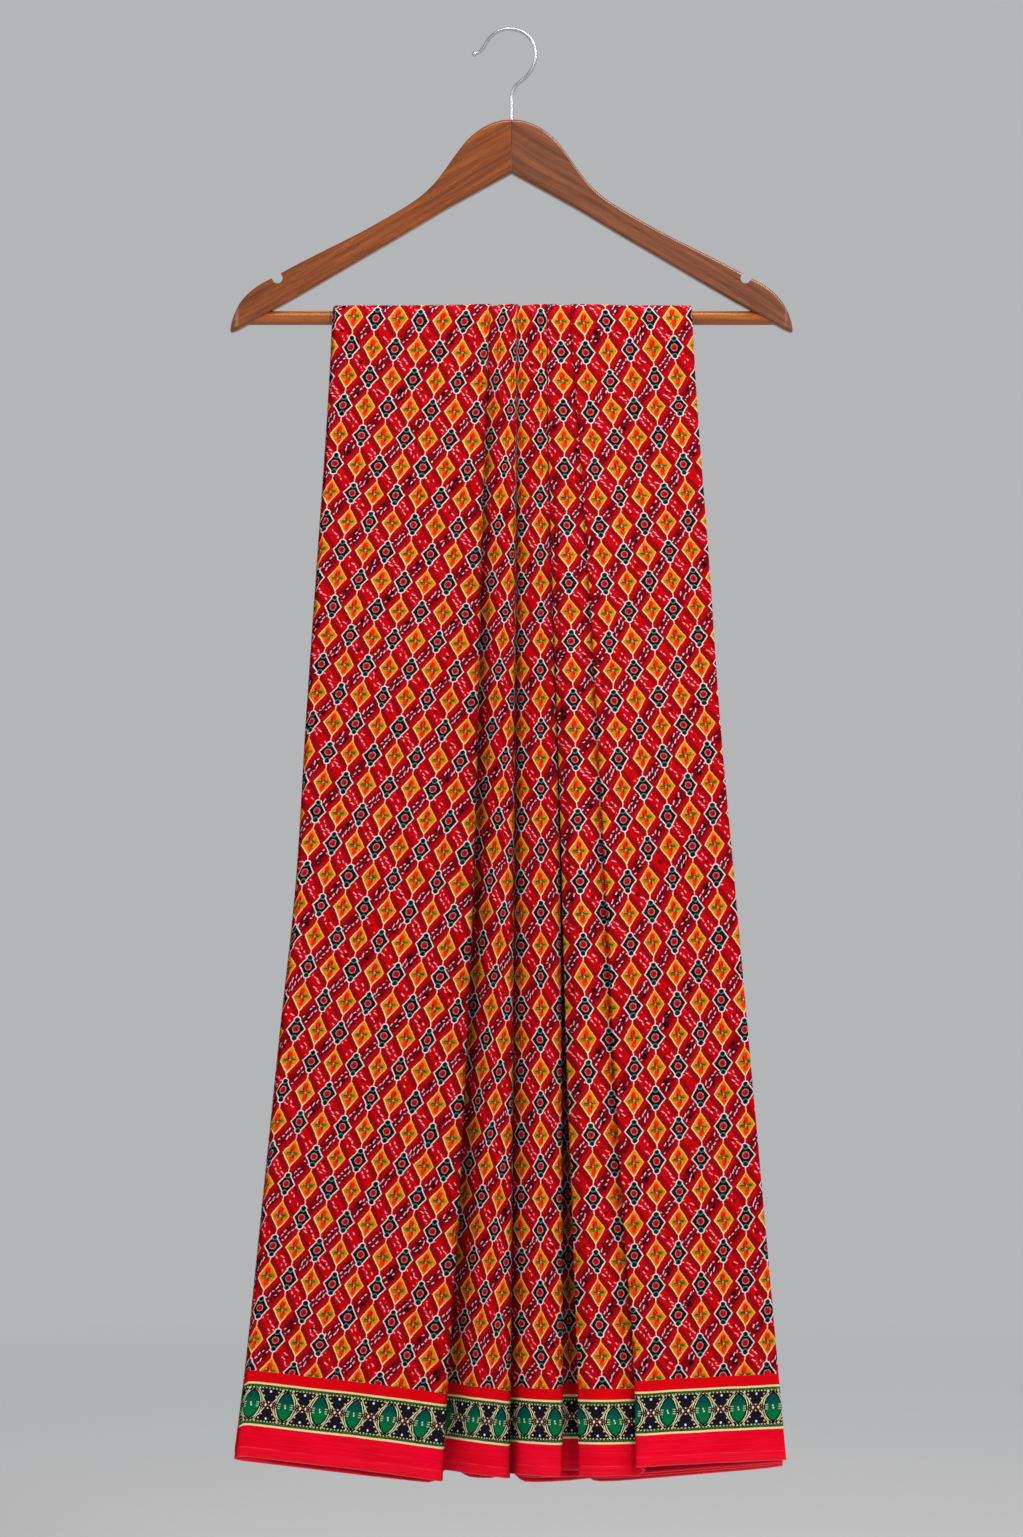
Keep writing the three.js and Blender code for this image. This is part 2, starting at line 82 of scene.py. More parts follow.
class Tree:
    """Short names for the nodes of one material."""

    def __init__(self, name):
        self.mat = bpy.data.materials.new(name)
        self.mat.use_nodes = True
        self.t = self.mat.node_tree
        self.t.nodes.clear()
        self.out = self.t.nodes.new("ShaderNodeOutputMaterial")
        self.bsdf = self.t.nodes.new("ShaderNodeBsdfPrincipled")
        self.t.links.new(self.bsdf.outputs[0], self.out.inputs[0])

    def put(self, socket, value):
        if isinstance(value, Num):
            value = value.s
        if isinstance(value, bpy.types.NodeSocket):
            self.t.links.new(value, socket)
        else:
            socket.default_value = value

    def math(self, op, a, b=0.0, c=None, clamp=False):
        n = self.t.nodes.new("ShaderNodeMath")
        n.operation = op
        n.use_clamp = clamp
        self.put(n.inputs[0], a)
        self.put(n.inputs[1], b)
        if c is not None:
            self.put(n.inputs[2], c)
        return Num(self, n.outputs[0])

    def join(self, x, y=0.0, z=0.0):
        n = self.t.nodes.new("ShaderNodeCombineXYZ")
        self.put(n.inputs[0], x)
        self.put(n.inputs[1], y)
        self.put(n.inputs[2], z)
        return n.outputs[0]

    def split(self, v):
        n = self.t.nodes.new("ShaderNodeSeparateXYZ")
        self.put(n.inputs[0], v)
        return [Num(self, o) for o in n.outputs]

    def noise(self, v, scale=1.0, detail=2.0, rough=0.5, distort=0.0, colour=False):
        n = self.t.nodes.new("ShaderNodeTexNoise")
        self.put(n.inputs["Vector"], v)
        n.inputs["Scale"].default_value = scale
        n.inputs["Detail"].default_value = detail
        n.inputs["Roughness"].default_value = rough
        n.inputs["Distortion"].default_value = distort
        if colour:
            return n.outputs["Color"]
        return Num(self, n.outputs[0])

    def rand(self, v):
        n = self.t.nodes.new("ShaderNodeTexWhiteNoise")
        n.noise_dimensions = "3D"
        self.put(n.inputs["Vector"], v)
        return n.outputs["Value"], n.outputs["Color"]

    def mix(self, f, a, b):
        n = self.t.nodes.new("ShaderNodeMix")
        n.data_type = "RGBA"
        self.put(n.inputs[0], f)
        self.put(n.inputs[6], a)
        self.put(n.inputs[7], b)
        return n.outputs[2]

    def ramp(self, f, stops):
        n = self.t.nodes.new("ShaderNodeValToRGB")
        self.put(n.inputs[0], f)
        e = n.color_ramp.elements
        while len(e) < len(stops):
            e.new(0.5)
        for i, (p, c) in enumerate(stops):
            e[i].position = p
            e[i].color = c
        return n.outputs[0]

    def bump(self, height, distance, strength=1.0, normal=None):
        n = self.t.nodes.new("ShaderNodeBump")
        n.inputs["Strength"].default_value = strength
        n.inputs["Distance"].default_value = distance
        self.put(n.inputs["Height"], height)
        if normal is not None:
            self.put(n.inputs["Normal"], normal)
        return n.outputs[0]


class Num:
    """A number that varies over a surface, with arithmetic."""

    def __init__(self, tree, socket):
        self.tr, self.s = tree, socket

    def op(self, name, other=0.0, clamp=False):
        return self.tr.math(name, self, other, clamp=clamp)

    def __add__(self, o):
        return self.op("ADD", o)

    __radd__ = __add__

    def __sub__(self, o):
        return self.op("SUBTRACT", o)

    def __rsub__(self, o):
        return self.tr.math("SUBTRACT", o, self)

    def __mul__(self, o):
        return self.op("MULTIPLY", o)

    __rmul__ = __mul__

    def __truediv__(self, o):
        return self.op("DIVIDE", o)

    def __abs__(self):
        return self.op("ABSOLUTE")

    def floor(self):
        return self.op("FLOOR")

    def frac(self):
        return self.op("FRACT")

    def sqrt(self):
        return self.op("SQRT")

    def sin(self):
        return self.op("SINE")

    def low(self, o):
        return self.op("MINIMUM", o)

    def high(self, o):
        return self.op("MAXIMUM", o)

    def madd(self, m, a):
        return self.tr.math("MULTIPLY_ADD", self, m, a)

    def inside(self, soft=0.3):
        """1 where this distance is below nought, fading over soft."""
        return self.tr.math("MULTIPLY_ADD", self, -1.0 / soft, 0.5, clamp=True)

    def over(self, edge, soft):
        return self.tr.math("MULTIPLY_ADD", self, 1.0 / soft, -edge / soft + 0.5, clamp=True)


def length2(a, b):
    return (a * a + b * b).sqrt()


def oval(a, b, x, y, rx, ry):
    """Rough distance in mm outside an oval at x, y."""
    return (length2((a - x) * (1 / rx), (b - y) * (1 / ry)) - 1.0) * min(rx, ry)


# ---------------------------------------------------------------- the sari's printed cloth
PITCH_U, PITCH_V = 17.6, 24.6
FIELD_FROM = 68.2
CROWD = 27.0  # mm more print than its even pitch gives, on the upper part of the drop


def cloth_material():
    T = Tree("sari_print")
    uv = T.t.nodes.new("ShaderNodeUVMap")
    uv.uv_map = "Cloth"
    U, V, _ = T.split(uv.outputs[0])
    U, V = U * 1000.0, V * 1000.0

    # the hand of the printer: everything wanders a little
    place = T.join(U, V)
    w1 = T.noise(place, 0.045, 2.0, 0.5, colour=True)
    w2 = T.noise(place, 0.42, 2.0, 0.6, colour=True)
    w1x, w1y, _ = T.split(w1)
    w2x, w2y, w2z = T.split(w2)
    u = U + (w1x - 0.5) * 3.2 + (w2x - 0.5) * 0.85
    v = V + (w1y - 0.5) * 3.4 + (w2y - 0.5) * 0.95
    fleck = T.noise(place, 1.1, 2.0, 0.6)

    # ---- field: a chequer of lozenges
    s = u * (1 / PITCH_U)
    t = (v - (FIELD_FROM + 0.6)) * (1 / PITCH_V)
    i, j = (s + 0.5).floor(), (t + 0.5).floor()
    a, b = (s - i) * PITCH_U, (t - j) * PITCH_V
    kind = T.math("FLOORED_MODULO", i + j, 2.0)  # 1 where a flower sits
    r1, rc = T.rand(T.join(i, j, 3.7))
    ra, rb, rd = T.split(rc)
    a = a + (ra - 0.5) * 0.5
    b = b + (rb - 0.5) * 0.7

    # ground between the lozenges
    ig, jg = s.floor(), t.floor()
    ag, bg = (s - ig - 0.5) * PITCH_U, (t - jg - 0.5) * PITCH_V
    slash = T.math("FLOORED_MODULO", ig + jg, 2.0)  # 1 where the gap runs up to the right
    gv, gc = T.rand(T.join(ig, jg, 8.3))
    ga, gb, gd = T.split(gc)
    p = ag * 0.589 + bg * 0.809
    q = bg * 0.589 - ag * 0.809
    p2 = ag * 0.589 - bg * 0.809
    q2 = ag * 0.809 + bg * 0.589

    red = T.mix(w2z.over(0.5, 0.35), lin(214, 0, 10), lin(180, 0, 10))
    red = T.mix((3.4 - abs(q2) + (fleck - 0.5) * 2.0).inside(1.7) * 0.7, red, lin(124, 0, 11))
    maroon = T.mix(fleck.over(0.5, 0.3), lin(142, 0, 14), lin(90, 0, 12))
    maroon = T.mix((abs(q) + (fleck - 0.5) * 2.6).over(4.2, 2.4), maroon, lin(184, 0, 14))
    ground = T.mix(slash, red, maroon)
    spot = (length2(p - ga * 3.4, q - 2.4 + gb * 1.2).low(length2(p + gb * 3.8, q + 2.8 - ga * 1.2)) - (gd * 2.1 + 0.5)).inside(1.2)
    ground = T.mix(spot * slash * 0.95, ground, lin(34, 1, 9))
    spot2 = (length2(p2 - ga * 4.0 + 2.0, q2 + 1.0 - gb * 2.0) - (gb * 2.6 - 0.6)).inside(1.2)
    ground = T.mix(spot2 * (1.0 - slash) * 0.75, ground, lin(62, 0, 10))

    # broken strokes, in two files along the dark gaps and a few along the red ones
    def strokes(along, over, seed, often, phase):
        near = over.op("SIGN")
        step = (along + near * phase) * (1 / 3.7) + near * 0.31
        k = step.floor()
        r0, r3 = T.rand(T.join(k + ig * 7.0 + seed, jg + near * 0.37, 1.9 + seed))
        rx, ry, rz = T.split(r3)
        pl = (step - k - 0.5) * 3.7 + (rx - 0.5) * 0.9
        mid = abs(over) - 1.15 - ry * 1.2 - pl * near * (rz - 0.45) * 0.9
        mark = (abs(mid) - 0.36 - ry * 0.14).high(abs(pl) - 0.72 - rz * 1.0).inside(0.36)
        return mark * Num(T, r0).over(often, 0.02) * (abs(along) - 7.4).inside(0.5)

    dash = strokes(p, q, 0.0, 0.26, ga * 2.0) * slash
    dash2 = strokes(p2, q2, 5.0, 0.36, gb * 2.0) * (1.0 - slash)
    ground = T.mix(dash * 0.95, ground, lin(255, 198, 210))
    ground = T.mix(dash2 * 0.92, ground, lin(252, 172, 184))

    # short stalk between the tips of one column
    stalk = (abs(a + w2z - 0.5) - 0.34).inside(0.35) * abs(b).over(9.6, 0.3)
    col = T.mix(stalk, ground, lin(250, 215, 195))

    # amber lozenge
    big = 1.0 + (ra - 0.5) * 0.09
    da = (abs(a) * (1 / 6.7) + abs(b) * (1 / 9.9) - big) * 5.5
    amber = T.mix(fleck.over(0.5, 0.5), T.mix(rb, lin(244, 140, 12), lin(248, 168, 26)), lin(204, 96, 2))
    amber = T.mix(oval(a, b, -0.3, 4.0, 2.1, 3.2).inside(1.1), amber, lin(238, 34, 2))
    amber = T.mix(oval(a, b, 0.3, -4.5, 1.9, 3.4).inside(1.1), amber, lin(242, 44, 2))
    amber = T.mix(oval(a, b, 0.9, 4.6, 0.6, 1.6).inside(0.7) * rd.over(0.45, 0.1), amber, lin(150, 14, 6))
    amber = T.mix(oval(a, b, -2.9, -0.6, 2.0, 1.5).inside(1.0) * (0.5 + rb * 0.5), amber, lin(104, 96, 4))
    amber = T.mix(oval(a, b, 2.9, 0.5, 2.0, 1.8).inside(1.0) * (1.0 - rb * 0.4), amber, lin(66, 122, 14))
    cross = (abs(a - b) - 0.5).high(abs(a + b) - 3.4).low((abs(a + b) - 0.45).high(abs(a - b) - 2.9)).low((abs(b - 0.2) - 0.4).high(abs(a) - 4.2)).inside(0.5)
    amber = T.mix(cross * 0.95, amber, lin(38, 30, 4))
    amber = T.mix(oval(a, b, -1.5, 2.2, 0.7, 1.7).low(oval(a, b, 1.6, -2.3, 0.7, 1.7)).inside(0.6) * 0.85, amber, lin(96, 20, 4))
    amber = T.mix(oval(a, b, 0.3 + w2z - 0.5, -0.1, 0.75, 0.6).inside(0.5) * 0.8, amber, lin(214, 206, 130))
    amber = T.mix(fleck.over(0.62, 0.08) * 0.5, amber, lin(92, 24, 2))
    # flower lozenge: pointed bumps at both tips
    round_up = (length2(a, abs(b) - 6.9) - 2.05)
    db = ((abs(a) * (1 / 6.4) + abs(b) * (1 / 8.95) - big) * 5.2).low(round_up)
    leaf = T.mix(oval(abs(a), b, 4.1, 0.0, 2.0, 2.6).inside(1.2) * 0.8, lin(2, 7, 7), lin(2, 34, 28))
    leaf = T.mix((abs(abs(b) - abs(a) * 0.9 - 1.6) - 0.7).inside(0.8) * fleck.over(0.45, 0.3) * 0.6, leaf, lin(3, 44, 32))
    leaf = T.mix(fleck.over(0.56, 0.25) * 0.4, leaf, lin(5, 5, 12))
    bud = T.mix(rd.over(0.5, 0.4), lin(2, 56, 54), lin(3, 20, 44))
    bud = T.mix(oval(a, abs(b), 0.0, 7.0, 1.2, 1.3).inside(1.2) * 0.8, bud, lin(2, 8, 18))
    rim = (abs(round_up + 0.1) - 0.34).inside(0.5) * (7.2 - abs(b)).over(0.3, 0.8)
    leaf = T.mix((round_up - 0.0).inside(0.4), leaf, bud)
    leaf = T.mix(rim * 0.75, leaf, lin(84, 150, 136))
    leaf = T.mix(oval(a, b, 0.0, 0.0, 3.1, 3.3).inside(0.5), leaf, lin(9, 3, 5))
    ring = (abs(length2(a + 0.1, b * 0.93) - 2.5) - 0.28).inside(0.4)
    leaf = T.mix(ring * (fleck * 2.4 - 0.45).high(0.0).low(1.0), leaf, lin(252, 150, 146))
    leaf = T.mix(oval(a, b, 0.0, 0.0, 1.9, 2.1).inside(0.4), leaf, lin(206, 0, 16))
    leaf = T.mix(oval(a, b, 0.3, -0.4, 0.9, 1.0).inside(0.8) * 0.8, leaf, lin(120, 0, 8))

    d = da + (db - da) * kind
    body = T.mix(kind, amber, leaf)
    line = T.mix(kind, T.mix((a + b * 0.6).over(0.5, 5.0), lin(255, 228, 160), lin(252, 186, 72)), lin(252, 226, 222))
    wide = 0.22 + fleck * 0.32
    col = T.mix((d - 0.1).inside(0.35), col, body)
    col = T.mix((abs(d - 0.45) - wide).inside(0.35), col, line)

    # ---- border, measured from the nearer selvedge
    e = V.low(FLAT_WIDE * 1000 + CROWD - V) + (w1y - 0.5) * 0.5 + (w2y - 0.5) * 0.25
    rep = 27.6
    bu = (u * (1 / rep)).frac()
    bx = (bu - 0.5) * rep
    by = e - 42.4
    jx = rep / 2 - abs(bx)
    ab = abs(by)
    dark = T.mix(fleck.over(0.5, 0.3), lin(24, 22, 12), lin(8, 10, 7))
    cream = T.mix(fleck.over(0.5, 0.5), lin(255, 250, 214), lin(236, 224, 170))
    broken = (fleck * 4.5 - 1.25).high(0.0).low(1.0)
    # green and pale crumbs inside each rule
    band = T.mix((ab.over(13.0, 1.6) * fleck.over(0.52, 0.12)), dark, lin(84, 128, 52))
    crumb = (length2(((u * (1 / 2.7)).frac() - 0.5) * 2.7, ab - 13.2 - (w2x - 0.5) * 1.6) - 0.5).inside(0.4)
    band = T.mix(crumb * 0.9, band, cream)
    # navy wedges above and below each junction, in brown
    gem = (jx - (ab - 2.4) * 0.52) * 0.9
    band = T.mix((gem - 1.6).inside(1.0) * (12.6 - ab).over(0.0, 0.6) * 0.85, band, lin(40, 18, 12))
    navy = T.mix(fleck.over(0.56, 0.25), lin(10, 14, 30), lin(30, 34, 58))
    band = T.mix(gem.high(ab - 12.5).inside(0.5), band, navy)
    band = T.mix(oval(jx, ab, 0.0, 10.8, 0.8, 0.9).inside(0.35), band, lin(246, 240, 226))
    # two broken cream lines on each slant, shoulder to junction
    slant = (ab - jx * 1.39) * (1 / 1.71)
    pair = (abs(slant + 1.1 + (w2z - 0.5) * 0.9) - 0.3).low((abs(slant + 3.4) - 0.3).high(8.4 - ab)).inside(0.3)
    band = T.mix(pair * broken * (12.9 - ab).over(0.2, 0.5) * jx.over(1.9, 0.5) * (12.4 - jx).over(0.0, 0.8), band, cream)
    # beads between the wedge and the first line
    bead = (length2(jx - 6.6, ab - 10.6).low(length2(jx - 4.9, ab - 7.2)).low(length2(jx - 9.2, ab - 12.6)) - 0.62).inside(0.35)
    band = T.mix(bead * 0.9, band, lin(232, 214, 176))
    # brown and white knot at the junction
    band = T.mix(oval(jx, by, 0.0, 0.0, 4.2, 3.0).inside(0.8) * 0.95, band, lin(34, 12, 8))
    petal = (abs(length2(jx, by * 1.2) - 3.5) - 0.3).inside(0.5) * broken
    band = T.mix(petal * 0.7, band, lin(128, 78, 56))
    knot = oval(jx, by, 2.1, 0.1, 0.72, 1.15).low(length2(jx, ab - 2.3) - 0.5).inside(0.4)
    band = T.mix(knot, band, lin(250, 234, 214))
    side = length2(jx - 4.7, ab - 1.2).low(length2(jx - 6.2, by * 0.8)) - 0.42
    band = T.mix(side.inside(0.35) * 0.9, band, lin(206, 168, 138))
    band = T.mix((length2(jx, by) - 0.65).inside(0.4), band, lin(168, 62, 66))
    # green eggs with a broken line close round them
    lemon = (abs(bx) * (1 / 6.1)).op("POWER", 1.6) + (ab * (1 / 10.4)).op("POWER", 1.6)
    egg = (lemon.op("POWER", 1 / 1.6) - 1.0) * 6.1
    band = T.mix((egg - 0.9).inside(0.4), band, lin(5, 11, 6))
    band = T.mix((abs(egg - 1.4) - 0.34).inside(0.3) * broken * (10.4 - ab).over(0.0, 0.6) * ab.over(1.5, 0.4), band, cream)
    band = T.mix((abs(egg - 3.0 - (w2y - 0.5) * 0.6) - 0.3).inside(0.3) * broken * (8.6 - ab).over(0.0, 0.6) * ab.over(2.4, 0.4), band, cream)
    green = T.mix((by * 0.05 + (w1x - 0.5) * 0.8 + 0.5).over(0.55, 0.5), lin(0, 114, 60), lin(0, 76, 68))
    green = T.mix(fleck.over(0.6, 0.2) * 0.3, green, lin(0, 46, 38))
    band = T.mix(egg.inside(0.4), band, green)
    mark = oval(bx, by, -0.3, 0.9, 0.5, 0.75).low(oval(bx, by, 0.25, -0.9, 0.6, 0.7)).inside(0.35)
    rung = (abs(((by + 0.85) * (1 / 1.7)).frac() - 0.5) - 0.2).high(abs(by) * 0.4 - 1.0).high((abs(abs(bx) - 5.0) - 1.1) * 0.5).inside(0.2)
    band = T.mix(mark * 0.95, band, lin(238, 240, 214))
    band = T.mix(rung * 0.8, band, lin(206, 222, 170))

    streak = T.noise(T.join(U * 0.02, V * 0.7), 1.0, 3.0, 0.6)
    patch = T.noise(T.join(U * 0.022, V * 0.02), 1.0, 1.0, 0.5)
    plain = T.mix((streak * 0.5 + patch * 0.5).over(0.5, 0.26), lin(230, 0, 26), lin(255, 2, 48))
    wear_and_highlight = T.noise(T.join(U * 0.06, V * 0.3), 1.0, 2.0, 0.5)
    hem_line = (abs(e - 7.8) - 0.32).inside(0.4) * wear_and_highlight.over(0.52, 0.3) * (fleck * 0.4 + 0.25)
    plain = T.mix(hem_line, plain, lin(255, 84, 96))
    plain = T.mix((e - 7.8).inside(1.0) * 0.3, plain, lin(250, 22, 50))
    # painted highlight: the colour lightens over the last 2 mm at each selvedge and a thin pale line runs along the
    # very edge, where the turned hem catches the light
    plain = T.mix((e - 1.2).inside(1.4) * 0.45, plain, lin(255, 44, 66))
    plain = T.mix((e - 0.6).inside(0.5) * (0.3 + wear_and_highlight * 0.5), plain, lin(255, 104, 116))
    thread = T.noise(T.join(U * 0.012, V * 2.2), 1.0, 2.0, 0.6)
    plain = T.mix(thread.over(0.62, 0.05) * 0.22, plain, lin(255, 70, 88))
    upper = T.mix(streak.over(0.5, 0.5), lin(216, 0, 14), lin(232, 0, 18))

    col = T.mix((e - FIELD_FROM).inside(0.3), col, upper)
    col = T.mix((e - 59.6).inside(0.3), col, lin(238, 224, 160))
    col = T.mix((e - 58.1).inside(0.3), col, band)
    col = T.mix((e - 26.6).inside(0.3), col, lin(245, 222, 168))
    col = T.mix((e - 25.0).inside(0.3), col, plain)

    # painted shade: the mesh's painted-shade attribute darkens the base colour towards near-black, standing for the
    # little light that gets down between the folds and into the stack
    deep = T.t.nodes.new("ShaderNodeAttribute")
    deep.attribute_name = "Depth"
    col = T.mix(deep.outputs["Fac"], lin(20, 4, 3), col)
    T.put(T.bsdf.inputs["Base Color"], col)
    T.bsdf.inputs["Specular IOR Level"].default_value = 0.04
    T.bsdf.inputs["Sheen Weight"].default_value = 0.0
    T.bsdf.inputs["Sheen Roughness"].default_value = 0.4
    rough = 0.62 + (fleck - 0.5) * 0.12
    T.put(T.bsdf.inputs["Roughness"], rough)

    # plain weave, slubs and the doubled hem
    warp = (U * (2 * math.pi / 0.52)).sin()
    weft = (V * (2 * math.pi / 0.48)).sin()
    slub = T.noise(T.join(U * 0.35, V * 3.0), 1.0, 2.0, 0.5)
    hem_step = (e - 7.8).inside(0.7)
    stitch = (abs(e - 7.6) - 0.35).inside(0.3) * (abs((U * (1 / 2.4)).frac() - 0.5) - 0.36).inside(0.1)
    height = warp * weft * 0.035 + slub * 0.05 + hem_step * 0.22 - stitch * 0.12
    T.put(T.bsdf.inputs["Normal"], T.bump(height, 0.001, 0.7))
    return T.mat


# ---------------------------------------------------------------- the sari's folds
STATIONS = np.array([-300, -252, -60, 0, 65, 190, 315, 440, 565, 695, 835, 905, 940], float)


def table(*rows):
    """Values at -252 .. 905, carried on a little past both ends."""
    r = np.array(rows, float)
    slope = (r[-1] - r[-2]) / 70.0
    return np.concatenate([[r[0]], r, [r[-1] + slope * 35]])


LEFT = table(-130, -139, -141.9, -145.3, -154.0, -162.8, -170.6, -183.9, -197.4, -212.2, -221.3)
EDGE1 = table(-14, -16, -17.5, -19.8, -23.8, -26.4, -29.6, -35.0, -41.0, -50.0, -54.0)
EDGE2 = table(5, 5.1, 4.6, 4.0, 3.4, 2.6, 1.8, 1.2, 0.4, -0.8, -1.6)
EDGE3 = table(25, 27.6, 28, 28.2, 30.8, 34.8, 37.8, 39.0, 39.6, 39.8, 39.4)
GAP3 = table(1.5, 1.4, 1.2, 1.0, 1.0, 1.4, 2.2, 4.0, 8.2, 12.4, 13.8)
EDGE4 = table(43, 46.8, 47.3, 51.4, 60.1, 67.5, 73.8, 80.0, 87.1, 96.9, 98.1)
RIGHT = table(131, 140, 142.4, 146.0, 155.4, 164.0, 175.1, 186.2, 197.8, 210.2, 216.5)
UNDER = table(10.0, 10.5, 10.8, 10.8, 10.4, 9.8, 9.0, 8.2, 7.4, 6.9, 6.8)
PUFF = table(0.3, 0.35, 0.5, 2.2, 5.6, 7.6, 9.0, 9.8, 10.2, 10.4, 10.6)
LAY = table(0.42, 0.40, 0.38, 0.42, 0.55, 0.70, 0.85, 1.0, 1.2, 1.4, 1.5)
PLY = table(0.50, 0.40, 0.375, 0.40, 0.48, 0.56, 0.64, 0.72, 0.80, 0.88, 0.92)
INNER = BAR_R + 0.3  # first ply's middle, from the bar's axis
PLIES = 11  # behind the front one


def curve(xs, ys, x):
    """Smooth and without overshoot between the given points (monotone cubic)."""
    h = np.diff(xs)
    d = np.diff(ys) / h
    m = np.zeros_like(ys)
    m[1:-1] = np.where(d[:-1] * d[1:] > 0, 2 * d[:-1] * d[1:] / np.where(d[:-1] + d[1:] == 0, 1, d[:-1] + d[1:]), 0)
    m[0], m[-1] = d[0], d[-1]
    x = np.clip(x, xs[0], xs[-1])
    k = np.clip(np.searchsorted(xs, x, side="right") - 1, 0, len(xs) - 2)
    t = (x - xs[k]) / h[k]
    return (
        (2 * t**3 - 3 * t**2 + 1) * ys[k]
        + (t**3 - 2 * t**2 + t) * h[k] * m[k]
        + (3 * t**2 - 2 * t**3) * ys[k + 1]
        + (t**3 - t**2) * h[k] * m[k + 1]
    )


def smooth(x):
    x = np.clip(x, 0, 1)
    return x * x * (3 - 2 * x)


def lerp_keys(D, *pairs):
    xs = np.array([p[0] for p in pairs], float)
    ys = np.array([p[1] for p in pairs], float)
    return curve(xs, ys, D)


def slide(D, *pairs):
    """How far the print's columns have run sideways by a drop D: the sum of their lean."""
    g = np.linspace(-300, 940, 249)
    lean = np.interp(g, [p[0] for p in pairs], [p[1] for p in pairs])
    c = np.concatenate([[0], np.cumsum((lean[1:] + lean[:-1]) / 2 * np.diff(g))])
    return np.interp(D, g, c - np.interp(0, g, c))


rng = np.random.default_rng(20)
INSET_L = rng.uniform(0.2, 1.0, PLIES + 1)
INSET_R = rng.uniform(0.2, 1.0, PLIES + 1)
INSET_L[10] = 0.55
HEM_OFF = rng.uniform(-1.6, 0.4, PLIES + 1)
BACK_OFF = rng.uniform(-2.6, 1.0, PLIES + 1)

# hems of the plies behind, as drops below the bar's axis at x (mm), where they show below the front one
# hems of the three plies next behind the front, drop in mm at each HEM_X
HEMS = np.array([
    (-222, 899.6, 898.0, 896.5), (-180, 904.6, 902.8, 901.0), (-120, 911.6, 909.6, 907.6), (-62, 918.2, 916.0, 914.0),
    (-58.5, 917.2, 914.5, 912.5), (-54, 905.5, 905.0, 904.4), (-40, 908.0, 907.4, 906.6), (-36, 912.8, 911.0, 909.5),
    (-11, 914.9, 912.6, 911.0), (-8, 910.5, 910.0, 909.4), (3, 910.0, 909.6, 909.0), (6, 912.8, 915.6, 911.5), (9, 913.4, 917.2, 912.4),
    (36, 913.8, 917.3, 914.6), (52, 913.4, 915.9, 913.6), (61.5, 912.8, 914.5, 912.6), (64, 912.8, 914.4, 917.2), (90, 912.3, 914.4, 916.5),
    (101, 911.0, 913.0, 915.5), (115, 909.6, 911.8, 914.1), (140, 907.4, 909.7, 911.9), (175, 905.4, 907.1, 909.2), (201, 903.4, 905.3, 907.2),
    (213, 901.6, 903.0, 905.3),
])
HEM_X, HEM_SECOND, HEM_THIRD, HEM_FOURTH = HEMS.T
ALONG_HEM = (
    0.0, 0.012, 0.07, 0.16, 0.25, 0.33, 0.362, 0.371, 0.379, 0.388, 0.414, 0.423, 0.431, 0.445, 0.475, 0.486, 0.495, 0.513, 0.522, 0.531,
    0.545, 0.58, 0.615, 0.648, 0.656, 0.664, 0.70, 0.75, 0.82, 0.93, 0.988, 1.0,
)


